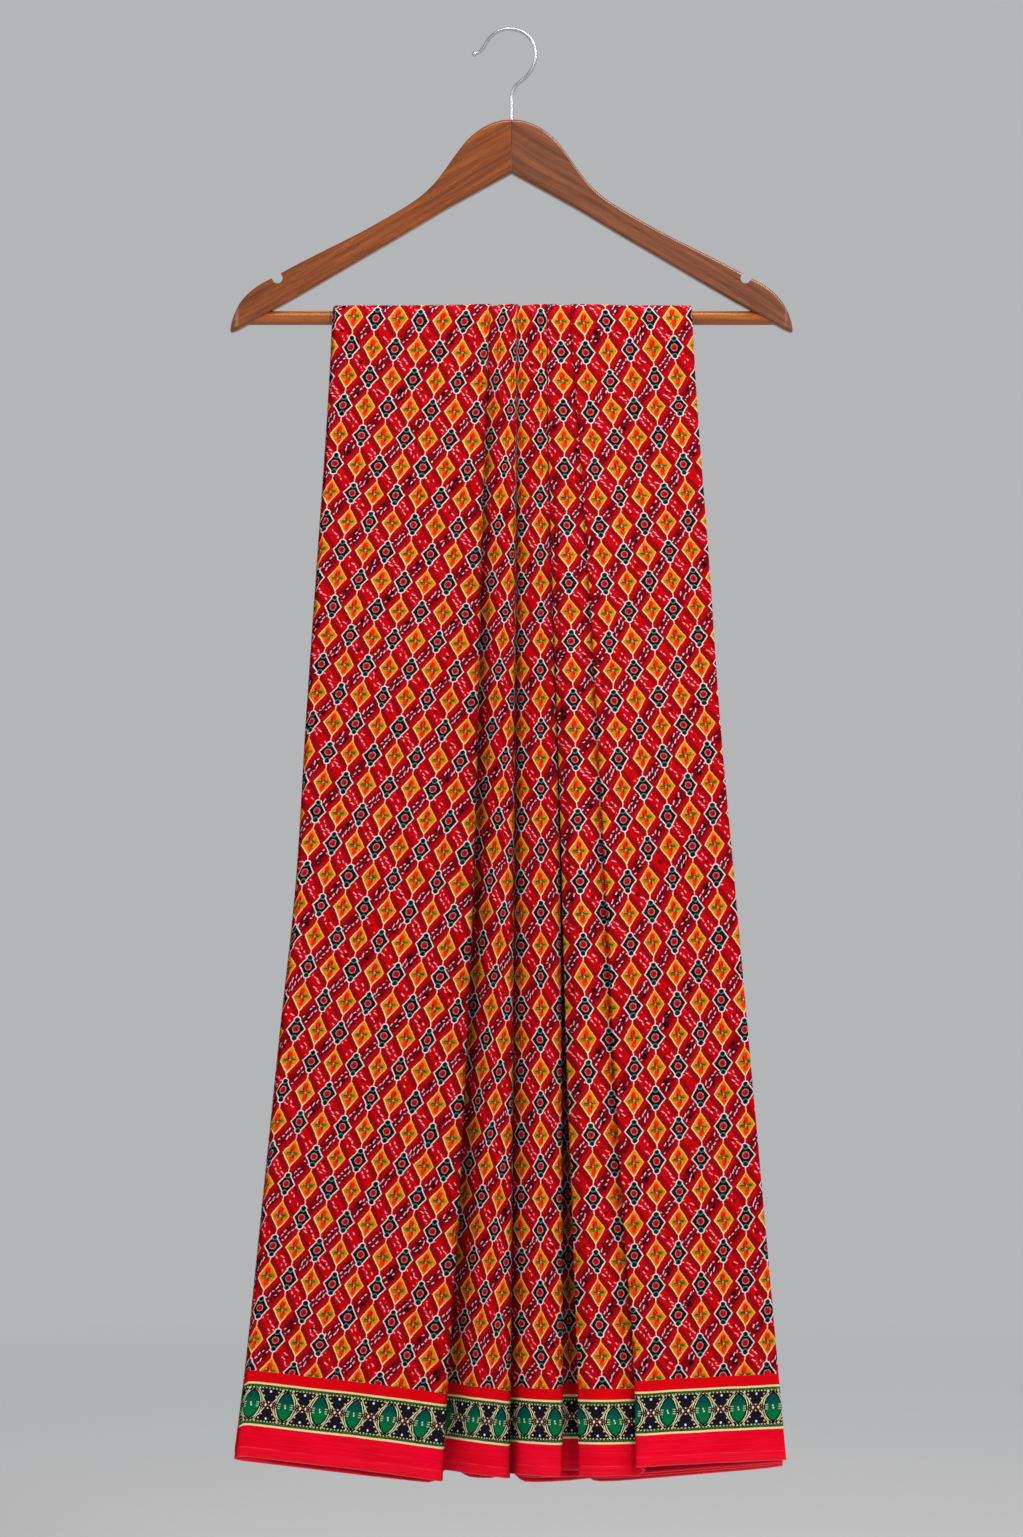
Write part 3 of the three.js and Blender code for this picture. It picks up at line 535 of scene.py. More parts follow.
def front_controls(D):
    """The front ply's section at drop D, left to right: rows of x, height over the stack, u, hem shift, samples,
    painted crease shade (1 leaves the colour as it is, lower paints it darker).
    """
    xl, x1, x2, x3 = (curve(STATIONS, t, D) for t in (LEFT, EDGE1, EDGE2, EDGE3))
    x3r = x3 + curve(STATIONS, GAP3, D)
    x4, xr = curve(STATIONS, EDGE4, D), curve(STATIONS, RIGHT, D)
    U, p, a = (curve(STATIONS, t, D) for t in (UNDER, PUFF, LAY))
    wl, w2, w3, w5, wr = x1 - xl, x2 - x1, x3 - x2, x4 - x3r, xr - x4
    gap = x3r - x3

    # how far the rows of the print have slipped down at each edge (mm)
    gl0 = lerp_keys(D, (-300, -2.0), (0, -3.3), (450, -5.6), (905, -9.0), (940, -9.3))
    gl1 = lerp_keys(D, (-300, 2.0), (0, 3.3), (450, 5.4), (905, 9.6), (940, 9.9))
    g2a = lerp_keys(D, (-300, 0.0), (0, 0.0), (450, 0.5), (905, 2.6), (940, 2.7))
    g2b = lerp_keys(D, (-300, 0.6), (0, 0.8), (450, 3.0), (905, 7.0), (940, 7.2))
    g3a = lerp_keys(D, (-300, 0.5), (0, 0.8), (450, 2.4), (905, 5.4), (940, 5.5))
    g3b = lerp_keys(D, (-300, 0.6), (0, 0.8), (450, 2.4), (905, 6.2), (940, 6.3))
    grc = lerp_keys(D, (-300, 0.4), (0, 0.5), (450, 1.2), (905, 3.0), (940, 3.0))
    g5a = lerp_keys(D, (-300, 0.6), (0, 0.8), (450, 2.6), (905, 5.6), (940, 5.7))
    g5b = lerp_keys(D, (-300, 1.0), (0, 1.4), (450, 2.2), (905, 6.6), (940, 6.7))
    gr0 = lerp_keys(D, (-300, 1.6), (0, 3.2), (450, 3.6), (905, -1.2), (940, -1.4))
    gr1 = lerp_keys(D, (-300, -1.6), (0, -3.4), (450, -3.6), (905, -5.4), (940, -5.5))

    # the print's own length along the cloth at each edge (mm)
    cl = slide(D, (-300, 0.0), (0, 0.10), (120, 0.165), (450, 0.2), (905, 0.213))
    cr = slide(D, (-300, 0.0), (0, -0.06), (120, -0.087), (350, -0.08), (640, 0.0), (905, 0.012))
    ul = (xl - LEFT[3]) + cl
    u1 = (x1 - LEFT[3]) + cl
    u2 = (x2 - EDGE2[3]) / 0.78 + slide(D, (-300, 0), (0, 0.10), (905, 0.16)) / 0.78 + 191
    u2s = u2 - w2 / 0.78
    u3 = (x3 - EDGE3[3]) / 0.87 + 393
    u3s = u3 - w3 / 0.87
    u5 = (x3r - (EDGE3[3] + GAP3[3])) - slide(D, (-300, 0), (0, 0.03), (905, 0.05)) + 466
    u5e = u5 + w5
    urc = (u3 * 0.45 + u5 * 0.55)
    u4 = (x4 - EDGE4[3]) + cr + 501
    ur = u4 + wr

    # painted crease shade: how strongly each crease is painted dark, standing for the light lost there
    s1 = lerp_keys(D, (-300, 0.1), (0, 0.20), (65, 0.45), (190, 0.62), (440, 0.72), (820, 0.70), (880, 0.48), (940, 0.38))
    s2 = lerp_keys(D, (-300, 0.1), (0, 0.25), (65, 0.50), (190, 0.70), (440, 0.80), (820, 0.85), (940, 0.75))
    s3 = lerp_keys(D, (-300, 0.1), (0, 0.10), (65, 0.30), (190, 0.70), (440, 0.85), (700, 0.76), (820, 0.60), (880, 0.36), (940, 0.26))
    s4 = lerp_keys(D, (-300, 0.0), (0, 0.0), (65, 0.15), (440, 0.25), (905, 0.25), (940, 0.2))

    rows = []

    # c: the painted crease shade of this row, 1 where the colour is left as it is
    def add(x, h, u, g, m=2, c=1.0):
        rows.append((x, h, u, g, m, c))

    # left panel
    for f, h, m in (
        (0.03, 0.02 * p + 0.10 * a, 2), (0.09, 0.05 * p + 0.15 * a, 2), (0.17, 0.09 * p + 0.15 * a, 2), (0.26, 0.13 * p + 0.15 * a, 2),
        (0.35, 0.17 * p + 0.2 * a, 2), (0.44, 0.21 * p + 0.25 * a, 2), (0.53, 0.26 * p + 0.3 * a, 2), (0.62, 0.32 * p + 0.45 * a, 2),
        (0.70, 0.40 * p + 0.7 * a, 2), (0.77, 0.50 * p + 1.0 * a, 2), (0.83, 0.62 * p + 1.3 * a, 2), (0.88, 0.74 * p + 1.6 * a, 2),
        (0.92, 0.85 * p + 1.9 * a, 2),
    ):
        add(xl + f * wl, h, ul + f * (u1 - ul), gl0 + f * (gl1 - gl0), m)

    def nose_right(x, u_in, u_out, g_in, g_out, top, low, back_w, crease_shade, lip=0.15):
        """An edge that faces right: over, down and back under, then forward again below. Its turned part and the
        crease under it get painted shade.
        """
        r = min(back_w, 0.22 * U + 0.12 * p)
        tot = u_out - u_in
        turned = 1 - 0.45 * (1 - crease_shade)
        add(x - 0.9 * r, top * p + 2.15 * a, u_in - 0.9 * r, g_in, 2, 1 - 0.3 * lip * crease_shade)
        add(x - 0.25 * r, (top - 0.02) * p + 2.1 * a, u_in - 0.25 * r, g_in, 2, 1 - (lip + 0.25) * crease_shade)
        add(x + 0.16 * r, (top - 0.13) * p + 1.9 * a, u_in + 0.05 * tot, g_in, 2, 1 - (lip + 0.45) * turned)
        add(x + 0.18 * r, (top - 0.30) * p + 1.6 * a, u_in + 0.1 * tot, g_in, 2, 1 - (lip + 0.5) * turned)
        add(x - 0.25 * r, (top - 0.45) * p + 1.3 * a, u_in + 0.15 * tot, g_in, 2, 1 - turned)
        add(x - 0.35 * U, low * 1.5 * p + 1.1 * a, u_in + 0.25 * tot, g_in * 0.7 + g_out * 0.3, 1, 1 - crease_shade)
        add(x - 0.70 * U, low * p + 1.0 * a, u_in + 0.38 * tot, g_in * 0.6 + g_out * 0.4, 1, 1 - crease_shade)
        add(x - 0.98 * U, low * 0.7 * p + 0.92 * a, u_in + 0.48 * tot, (g_in + g_out) / 2, 1, 1 - crease_shade)
        add(x - 1.12 * U, low * 0.4 * p + 0.55 * a, u_in + 0.54 * tot, (g_in + g_out) / 2, 1, 1 - crease_shade)
        add(x - 1.00 * U, 0.01 * p + 0.12 * a, u_in + 0.60 * tot, (g_in + g_out) / 2, 1, 1 - crease_shade)
        add(x - 0.70 * U, 0.03 * a, u_in + 0.72 * tot, g_in * 0.3 + g_out * 0.7, 1, 1 - crease_shade)
        add(x - 0.35 * U, 0.0, u_in + 0.86 * tot, g_out, 1, 1 - crease_shade)

    nose_right(x1, u1, u2s, gl1, g2a, 0.95, 0.22, 5.0, s1, 0.5)
    # fold 2, painted dark next to its crease and less so up its flank
    for f, h in (
        (0.03, 0.01 * p), (0.10, 0.06 * p), (0.17, 0.17 * p + 0.05 * a), (0.24, 0.33 * p + 0.15 * a), (0.32, 0.51 * p + 0.4 * a),
        (0.41, 0.68 * p + 0.7 * a), (0.51, 0.81 * p + 1.0 * a), (0.61, 0.90 * p + 1.35 * a), (0.71, 0.96 * p + 1.65 * a), (0.80, 0.98 * p + 1.9 * a),
    ):
        # the print crowds together where the fold turns away
        s = smooth(f / 0.30)
        add(x1 + f * w2, h, u2s + (f - 0.055 * (1 - s) * (f / 0.3)) * (u2 - u2s), g2a + f * (g2b - g2a), 2, 1 - s1 * (1 - smooth((f - 0.05) / (0.43 + 0.1 * max(0.0, (D - 500) / 400)))) ** 1.3)
    nose_right(x2, u2, u3s, g2b, g3a, 0.93, 0.20, 4.0, s2, 0.5)
    # fold 3, with painted shade next to both of its creases
    for f, h in (
        (0.03, 0.02 * p), (0.10, 0.14 * p), (0.18, 0.34 * p + 0.1 * a), (0.27, 0.56 * p + 0.3 * a), (0.37, 0.75 * p + 0.6 * a),
        (0.48, 0.88 * p + 0.95 * a), (0.59, 0.95 * p + 1.3 * a), (0.70, 0.97 * p + 1.6 * a), (0.80, 0.94 * p + 1.85 * a),
    ):
        add(x2 + f * w3, h, u3s + f * (u3 - u3s), g3a + f * (g3b - g3a), 2, (1 - s2 * (1 - smooth((f - 0.02) / 0.17))) * (1 - 0.25 * s3 * smooth((f - 0.66) / 0.25)))
    nose_right(x3, u3, urc, g3b, grc, 0.86, 0.18, 4.0, s3, 0.5)
    # floor of the recess, with painted shade
    add(x3 + 0.15 * gap, 0.0, urc, grc, 2, 1 - s3)
    add(x3 + 0.5 * gap, 0.01 * p, urc + 0.5 * gap, grc, 2, 1 - 0.9 * s3)
    add(x3 + 0.85 * gap, 0.0, urc + gap, grc, 2, 1 - 0.95 * s3)

    def nose_left(x, u_in, u_out, g_in, g_out, top, low, crease_shade):
        """An edge that faces left: from below, back up and over it towards the right. Where it rises out of the crease
        it gets painted shade.
        """
        r = min(4.0, 0.22 * U + 0.12 * p)
        tot = u_out - u_in
        add(x + 0.35 * U, 0.0 + low[0], u_in + 0.14 * tot, g_in, 1)
        add(x + 0.70 * U, 0.03 * a + low[0], u_in + 0.28 * tot, g_in * 0.7 + g_out * 0.3, 1)
        add(x + 1.00 * U, 0.12 * a + low[0], u_in + 0.40 * tot, (g_in + g_out) / 2, 1)
        add(x + 1.12 * U, 0.55 * a + low[0], u_in + 0.46 * tot, (g_in + g_out) / 2, 1)
        add(x + 0.98 * U, 0.95 * a + low[1] * 0.7, u_in + 0.52 * tot, (g_in + g_out) / 2, 1)
        add(x + 0.70 * U, 1.02 * a + low[1], u_in + 0.62 * tot, g_in * 0.4 + g_out * 0.6, 1)
        add(x + 0.35 * U, 1.1 * a + low[1] * 1.4, u_in + 0.75 * tot, g_out, 1, 1 - crease_shade)
        add(x + 0.25 * r, (top - 0.42) * p + 1.3 * a, u_in + 0.85 * tot, g_out, 2, 1 - 0.8 * crease_shade)
        add(x - 0.18 * r, (top - 0.28) * p + 1.6 * a, u_in + 0.90 * tot, g_out, 2, 1 - 0.5 * crease_shade)
        add(x - 0.16 * r, (top - 0.12) * p + 1.9 * a, u_in + 0.95 * tot, g_out, 2, 1 - 0.2 * crease_shade)
        add(x + 0.25 * r, (top - 0.02) * p + 2.1 * a, u_out + 0.25 * r, g_out, 2, 1 - 0.15 * crease_shade)
        if x is not x3r:
            add(x + 0.9 * r, top * p + 2.15 * a, u_out + 0.9 * r, g_out)

    nose_left(x3r, urc + gap, u5, grc, g5a, 0.90, (0.0, 0.2 * p), s3)
    # fold 5, with painted shade by the recess and towards the right panel's edge
    for f, h in (
        (0.12, 0.92 * p + 2.1 * a), (0.20, 0.95 * p + 2.0 * a), (0.32, 0.95 * p + 1.8 * a), (0.45, 0.90 * p + 1.5 * a), (0.58, 0.80 * p + 1.1 * a),
        (0.70, 0.68 * p + 0.8 * a), (0.82, 0.55 * p + 0.5 * a), (0.93, 0.44 * p + 0.25 * a),
    ):
        add(x3r + f * w5, h, u5 + f * (u5e - u5), g5a + f * (g5b - g5a), 2, (1 - s4 * smooth((f - 0.65) / 0.3)) * (1 - 0.75 * s3 * (1 - smooth((f - 0.06) / 0.2))))
    add(x4, 0.38 * p + 0.12 * a, u5e, g5b, 2, 1 - s4)
    nose_left(x4, u5e, u4, g5b, gr0, 0.80, (0.28 * p, 0.36 * p), s4)
    for f, h in (
        (0.09, 0.79 * p + 2.05 * a), (0.16, 0.73 * p + 1.85 * a), (0.24, 0.64 * p + 1.6 * a), (0.33, 0.54 * p + 1.35 * a), (0.42, 0.45 * p + 1.2 * a),
        (0.52, 0.37 * p + 1.1 * a), (0.62, 0.30 * p + 1.05 * a), (0.72, 0.23 * p + 1.05 * a), (0.82, 0.16 * p + 1.05 * a), (0.91, 0.09 * p + 1.05 * a),
    ):
        add(x4 + f * wr, h, u4 + f * wr, gr0 + f * (gr1 - gr0))
    # right edge, and the free end turned in under it
    r = 0.6 * a + 0.3
    add(xr - 1.6 * r, 0.03 * p + 1.05 * a, ur - 1.6 * r, gr1)
    add(xr - 0.4 * r, 0.02 * p + 0.98 * a, ur, gr1)
    add(xr + 0.25 * r, 0.55 * a, ur + 1.0, gr1, 2)
    add(xr - 0.4 * r, 0.12 * a, ur + 2.0, gr1, 1)
    add(xr - 4, 0.04 * a, ur + 5.0, gr1, 1)
    add(xr - 14, 0.0, ur + 15, gr1, 1)
    add(xr - 27, 0.0, ur + 28, gr1 - 0.5, 1)
    add(xr - 40, 0.0, ur + 41, gr1 - 1.0, 1)
    add(xr - 52, 0.0, ur + 53, gr1 - 1.2, 1)
    return rows, (xl, x1, x2, x3, x3r, x4, xr, U, p, a, ul)


def swell(x, a, b):
    return np.where((x > a) & (x < b), np.sin(np.pi * np.clip((x - a) / max(b - a, 1e-6), 0, 1)) ** 2, 0.0)


LENGTH_PLY = 441.0


def section(D):
    """The whole cloth's section at drop D, from the innermost free end to the outermost."""
    front, (xl, x1, x2, x3, x3r, x4, xr, U, p, a, ul) = front_controls(D)
    ply = curve(STATIONS, PLY, D)
    low = np.clip(D / DROP, 0, 1.03)
    rows = []
    share = smooth(np.clip(D / DROP, 0, 1)) ** 2
    for k in range(PLIES):
        near = max(0.0, 1 - (10 - k) / 6.5) if k >= 5 else 0.0
        fs = ALONG_HEM if near > 0 else (0.0, 0.015, 0.12, 0.3, 0.5, 0.7, 0.88, 0.985, 1.0)
        to_left = k % 2 == 0
        a0 = xl + INSET_L[k] * (0.25 + 1.9 * low) + (0.35 if k % 2 else 0)
        a1 = xr - INSET_R[k] * (0.25 + 2.4 * low) - 0.4 - 0.9 * low
        u_start = -400 - LENGTH_PLY * (9 - k) if k < 10 else None
        for f in (fs[::-1] if to_left else fs):
            x = a0 + f * (a1 - a0)
            h = (k - (PLIES)) * ply
            if near > 0 and low > 0.1:
                e = (
                    0.16 * swell(x, xl + 0.4 * (x1 - xl), x1 - 1.3 * U)
                    + 0.39 * swell(x, x1 + 0.24 * (x2 - x1), x2 - 1.3 * U)
                    + 0.41 * swell(x, x2 + 0.18 * (x3 - x2), x3 - 1.25 * U)
                    + 0.39 * swell(x, x3r + 1.25 * U, x4 - 0.02 * (x4 - x3r))
                    + 0.24 * swell(x, x4 + 1.3 * U, min(x4 + 0.8 * (xr - x4), xr - 62))
                )
                h = h + e * p * near * smooth((low - 0.1) / 0.5)
            # the print, carried round each edge from the ply before
            done = (1 - f) if to_left else f  # how far along this ply, outwards
            if k == 10:
                u = ul - f * (400 + ul)
            elif k == 0:
                u = u_start - (x - a0)
            else:
                u = u_start - LENGTH_PLY * (1 - done)
            hem = 0.0
            if k == 10:
                hem = np.interp(x, HEM_X, HEM_SECOND) - DROP
            elif k == 9:
                hem = np.interp(x, HEM_X, HEM_THIRD) - DROP
            elif k == 8:
                hem = np.interp(x, HEM_X, HEM_FOURTH) - DROP
            else:
                hem = np.interp(x, HEM_X, HEM_FOURTH) - DROP - 1.6 + HEM_OFF[k]
            g = hem * share
            if D < 0:
                g = BACK_OFF[k] * smooth(-D / 250)
            ends = 0
            if f in (0.0, 1.0):
                x = x - 0.3 * ply if f == 0.0 else x + 0.3 * ply
                # a turned edge: this ply's end stands half way to the next
                up = 0.36 if (to_left == (f == 0.0)) else -0.36
                if not (k == 0 and f == 1.0):
                    h = h + up * ply
            # painted shade: inside the stack the plies are painted dark; the back ply and every turned edge are left
            # unpainted
            shade = 1.0 if k == 0 or f < 0.02 or f > 0.98 else 0.28
            rows.append((x, h, u, g, 1, shade))
    hs = 1.0
    for x, h, u, g, m, c in front:
        rows.append((x, h, u, g, m, c))
    arr = np.array([(*r[:4], r[5]) for r in rows], float)
    counts = [r[4] for r in rows]
    base = INNER + PLIES * ply
    right_thin = 1 - 0.10 * smooth((arr[:, 0] - 45) / 70) * (1 - np.clip(D / 400, 0, 1))
    arr[:, 1] = (base + arr[:, 1]) * right_thin + (1 - right_thin) * INNER
    return arr, counts


def spline_samples(counts):
    """Uniform cubic B-spline: for each sample, the first of its four controls and their weights."""
    idx, w = [], []
    n = len(counts)
    for k in range(n):
        for s in range(counts[k]):
            t = s / counts[k]
            idx.append(k - 1)
            w.append([(1 - t) ** 3 / 6, (3 * t**3 - 6 * t**2 + 4) / 6, (-3 * t**3 + 3 * t**2 + 3 * t + 1) / 6, t**3 / 6])
    return np.array(idx), np.array(w)


def build_sari():
    grid = np.concatenate([np.linspace(-300, 0, 41), np.linspace(10, 940, 94)])
    first, counts = section(0.0)
    idx, w = spline_samples(counts)
    n = len(counts)
    take = np.clip(idx[:, None] + np.arange(4)[None, :], 0, n - 1)
    X, H, UU, GG, CC = [], [], [], [], []
    for D in grid:
        arr, c = section(float(D))
        assert c == counts
        s = np.einsum("jk,jkc->jc", w, arr[take])
        X.append(s[:, 0]); H.append(s[:, 1]); UU.append(s[:, 2]); GG.append(s[:, 3]); CC.append(s[:, 4])
    X, H, UU, GG, CC = (np.array(q) for q in (X, H, UU, GG, CC))
    nj = X.shape[1]
    front_from = int(np.where(idx + 1 >= n - len(front_controls(0.0)[0]))[0][0])

    ref = INNER + PLIES * 0.375
    arc = math.pi * ref
    rows_d = np.concatenate([
        905 - np.array([0, 2.2, 6, 11, 17]),
        np.linspace(879, 60, 64),
        np.linspace(50, 8, 6),
        [0.0],
        -arc * np.linspace(0.1, 1.0, 10),
        -arc - np.linspace(8, 244, 20),
        [-arc - BACK + 3, -arc - BACK],
    ])
    ni = len(rows_d)
    Dg = np.broadcast_to(rows_d[:, None], (ni, nj))
    cols = np.arange(nj)

    def at(A, D):
        f = np.interp(D, grid, np.arange(len(grid)))
        k = np.clip(f.astype(int), 0, len(grid) - 2)
        t = f - k
        return A[k, cols[None, :]] * (1 - t) + A[k + 1, cols[None, :]] * t

    G = at(GG, Dg)
    P = Dg + G
    # the back edge hangs level apart from each ply's own small slip
    x, h = at(X, P), at(H, P)
    u = at(UU, P)
    v = DROP - Dg + CROWD * (1 - smooth(P / 430.0) ** 0.8)

    # soft unevenness of the front ply, kept clear of the ply behind it
    r = np.random.default_rng(7)
    amount = np.zeros_like(x)
    for _ in range(14):
        kx, kz = 2 * math.pi / r.uniform(34, 95), 2 * math.pi / r.uniform(260, 700)
        amount += np.sin(kx * x + kz * P + r.uniform(0, 6.3)) * r.uniform(0.4, 1.0) / 3.2
    small = np.zeros_like(x)
    for _ in range(10):
        kx, kz = 2 * math.pi / r.uniform(11, 24), 2 * math.pi / r.uniform(50, 130)
        small += np.sin(kx * x + kz * P + r.uniform(0, 6.3)) * r.uniform(0.4, 1.0) / 3.0
    ply_here = at(np.repeat(np.array([curve(STATIONS, PLY, float(D)) for D in grid])[:, None], nj, 1), P)
    room = np.clip(h - (INNER + PLIES * ply_here) , 0, 8)
    is_front = (np.arange(nj) >= front_from)[None, :]
    lowd = np.clip(P / DROP, 0, 1)
    h = h + is_front * (amount * np.minimum(room * 0.25, 0.9 * lowd + 0.05) + small * np.minimum(room * 0.12, 0.16))

    y = np.empty_like(x); z = np.empty_like(x)
    ang = np.clip(-P / ref, 0, math.pi)
    y[:] = -h * np.cos(ang)
    z[:] = BAR_Z + h * np.sin(ang)
    z = np.where(P >= 0, BAR_Z - P, z)
    z = np.where(P < -arc, BAR_Z - (-P - arc), z)
    verts = np.stack([x, y, z], -1).reshape(-1, 3) * MM

    quads = []
    for i in range(ni - 1):
        a0 = i * nj + np.arange(nj - 1)
        quads.append(np.stack([a0, a0 + 1, a0 + nj + 1, a0 + nj], -1))
    quads = np.concatenate(quads)
    me = bpy.data.meshes.new("sari_cloth")
    me.from_pydata(verts.tolist(), [], quads.tolist())
    me.update()
    loops = quads.reshape(-1)
    uvl = me.uv_layers.new(name="Cloth")
    uvs = np.stack([u.reshape(-1)[loops] * MM, v.reshape(-1)[loops] * MM], -1)
    uvl.data.foreach_set("uv", uvs.astype(np.float32).ravel())
    me.polygons.foreach_set("use_smooth", np.ones(len(me.polygons), bool))
    # painted shade: each hidden ply is painted dark where the ply before it overhangs; the painting fades out within
    # 3.4 mm of the ply's own hems, so these show lighter
    painted_shade = at(CC, P)
    edge = np.clip(np.minimum(DROP - Dg, Dg + arc + BACK) / 3.4, 0, 1)
    painted_shade = np.where(is_front, painted_shade, 1.0 - (1.0 - painted_shade) * edge)
    me.attributes.new("Depth", "FLOAT", "POINT").data.foreach_set("value", painted_shade.reshape(-1).astype(np.float32))
    ob = bpy.data.objects.new("sari_drape", me)
    bpy.context.scene.collection.objects.link(ob)
    return ob, (ni, nj, front_from)


sari, sari_shape = build_sari()
sari.data.materials.append(cloth_material())
solid = sari.modifiers.new("thickness", "SOLIDIFY")
solid.thickness = 0.00022
solid.offset = 0.0
solid.use_even_offset = False
solid.use_rim = True


# ---------------------------------------------------------------- wood and steel
def wood_material(name, tones, turn, seed, rough=0.36):
    """Stained hardwood with its grain along the arm. tones run dark to light, turn is the grain's slope in degrees."""
    T = Tree(name)
    co = T.t.nodes.new("ShaderNodeTexCoord")
    X, Y, Z = T.split(co.outputs["Object"])
    c, s = math.cos(math.radians(turn)), math.sin(math.radians(turn))
    along = (X * c + Z * s) * 1000.0
    across = (Z * c - X * s) * 1000.0
    deep = Y * 1000.0
    bend = T.noise(T.join(along * 0.008, across * 0.02, deep * 0.02 + seed), 1.0, 2.0, 0.5)
    rings = T.noise(T.join(along * 0.010 + seed, (across + bend * 9.0) * 0.22, deep * 0.16), 1.0, 4.0, 0.62, 0.4)
    fine = T.noise(T.join(along * 0.035 + seed, across * 1.5, deep * 1.2), 1.0, 3.0, 0.65)
    pores = T.noise(T.join(along * 0.09, across * 3.4, deep * 3.0 + seed), 1.0, 2.0, 0.5)
    f = rings * 0.62 + fine * 0.38
    col = T.ramp(f, [(0.30, tones[0]), (0.46, tones[1]), (0.58, tones[2]), (0.74, tones[3])])
    pore = pores.over(0.62, 0.10)
    col = T.mix(pore * 0.55, col, tones[0])
    T.put(T.bsdf.inputs["Base Color"], col)
    T.put(T.bsdf.inputs["Roughness"], rough + (fine - 0.5) * 0.18 + pore * 0.12)
    T.bsdf.inputs["Specular IOR Level"].default_value = 0.12
    T.bsdf.inputs["Coat Weight"].default_value = 0.85
    T.bsdf.inputs["Coat Roughness"].default_value = 0.24
    height = fine * 0.4 - pore * 0.5 + rings * 0.2
    T.put(T.bsdf.inputs["Normal"], T.bump(height, 0.00012, 0.6))
    return T.mat


def steel_material():
    T = Tree("bright_steel")
    co = T.t.nodes.new("ShaderNodeTexCoord")
    n = T.noise(co.outputs["Object"], 160.0, 2.0, 0.6)
    T.bsdf.inputs["Base Color"].default_value = (0.60, 0.61, 0.63, 1)
    T.bsdf.inputs["Metallic"].default_value = 1.0
    T.put(T.bsdf.inputs["Roughness"], 0.24 + n * 0.08)
    return T.mat


warm = [lin(76, 30, 5), lin(122, 58, 13), lin(150, 76, 20), lin(178, 98, 34)]
cool = [lin(76, 34, 15), lin(114, 61, 33), lin(136, 76, 46), lin(160, 96, 62)]
barw = [lin(128, 60, 12), lin(154, 78, 18), lin(176, 96, 28), lin(198, 120, 48)]


# ---------------------------------------------------------------- hanger
# one arm from the mitre joint outwards: distance from the middle, height of the upper and the lower edge (mm)
ARM = np.array([
    (0, -70.7, -113.4), (7, -71.2, -117.2), (14.2, -73.2, -121.1), (20.5, -75.9, -124.6), (26, -79.3, -127.6), (34.7, -86.6, -132.3),
    (41.7, -95.1, -136.2), (52, -109.6, -141.9), (59.1, -118.9, -146.1), (66.2, -126.5, -150.4), (75, -133.8, -155.6), (85.8, -140.8, -162.1),
    (118.1, -159.3, -180.9), (145.7, -173.2, -197.1), (167.8, -184.4, -210.0), (180.4, -191.2, -217.1), (191.6, -197.2, -223.0),
    (198.5, -200.9, -226.9), (206.3, -206.6, -231.4), (213, -213.7, -235.4), (218.2, -222.6, -237.9), (220.9, -229.8, -238.7), (222.1, -234.6, -238.3),
])
ARM_DEEP, ARM_ROUND = 15.0, 3.2
NOTCH_AT, NOTCH_WIDE, NOTCH_DEEP = 185.8, 8.0, 6.6


def mesh_object(name, verts, faces, flat=40):
    me = bpy.data.meshes.new(name)
    me.from_pydata([[c * MM for c in q] for q in verts], [], faces)
    me.polygons.foreach_set("use_smooth", np.ones(len(me.polygons), bool))
    me.set_sharp_from_angle(angle=math.radians(flat))
    o = bpy.data.objects.new(name, me)
    bpy.context.scene.collection.objects.link(o)
    return o


def loft(name, rings, flat=40):
    """A closed skin over rings of points, closed at both ends."""
    n = len(rings[0])
    verts = [q for r in rings for q in r]
    faces = [(r * n + k, r * n + (k + 1) % n, (r + 1) * n + (k + 1) % n, (r + 1) * n + k) for r in range(len(rings) - 1) for k in range(n)]
    faces += [tuple(reversed(range(n))), tuple((len(rings) - 1) * n + k for k in range(n))]
    return mesh_object(name, verts, faces, flat)


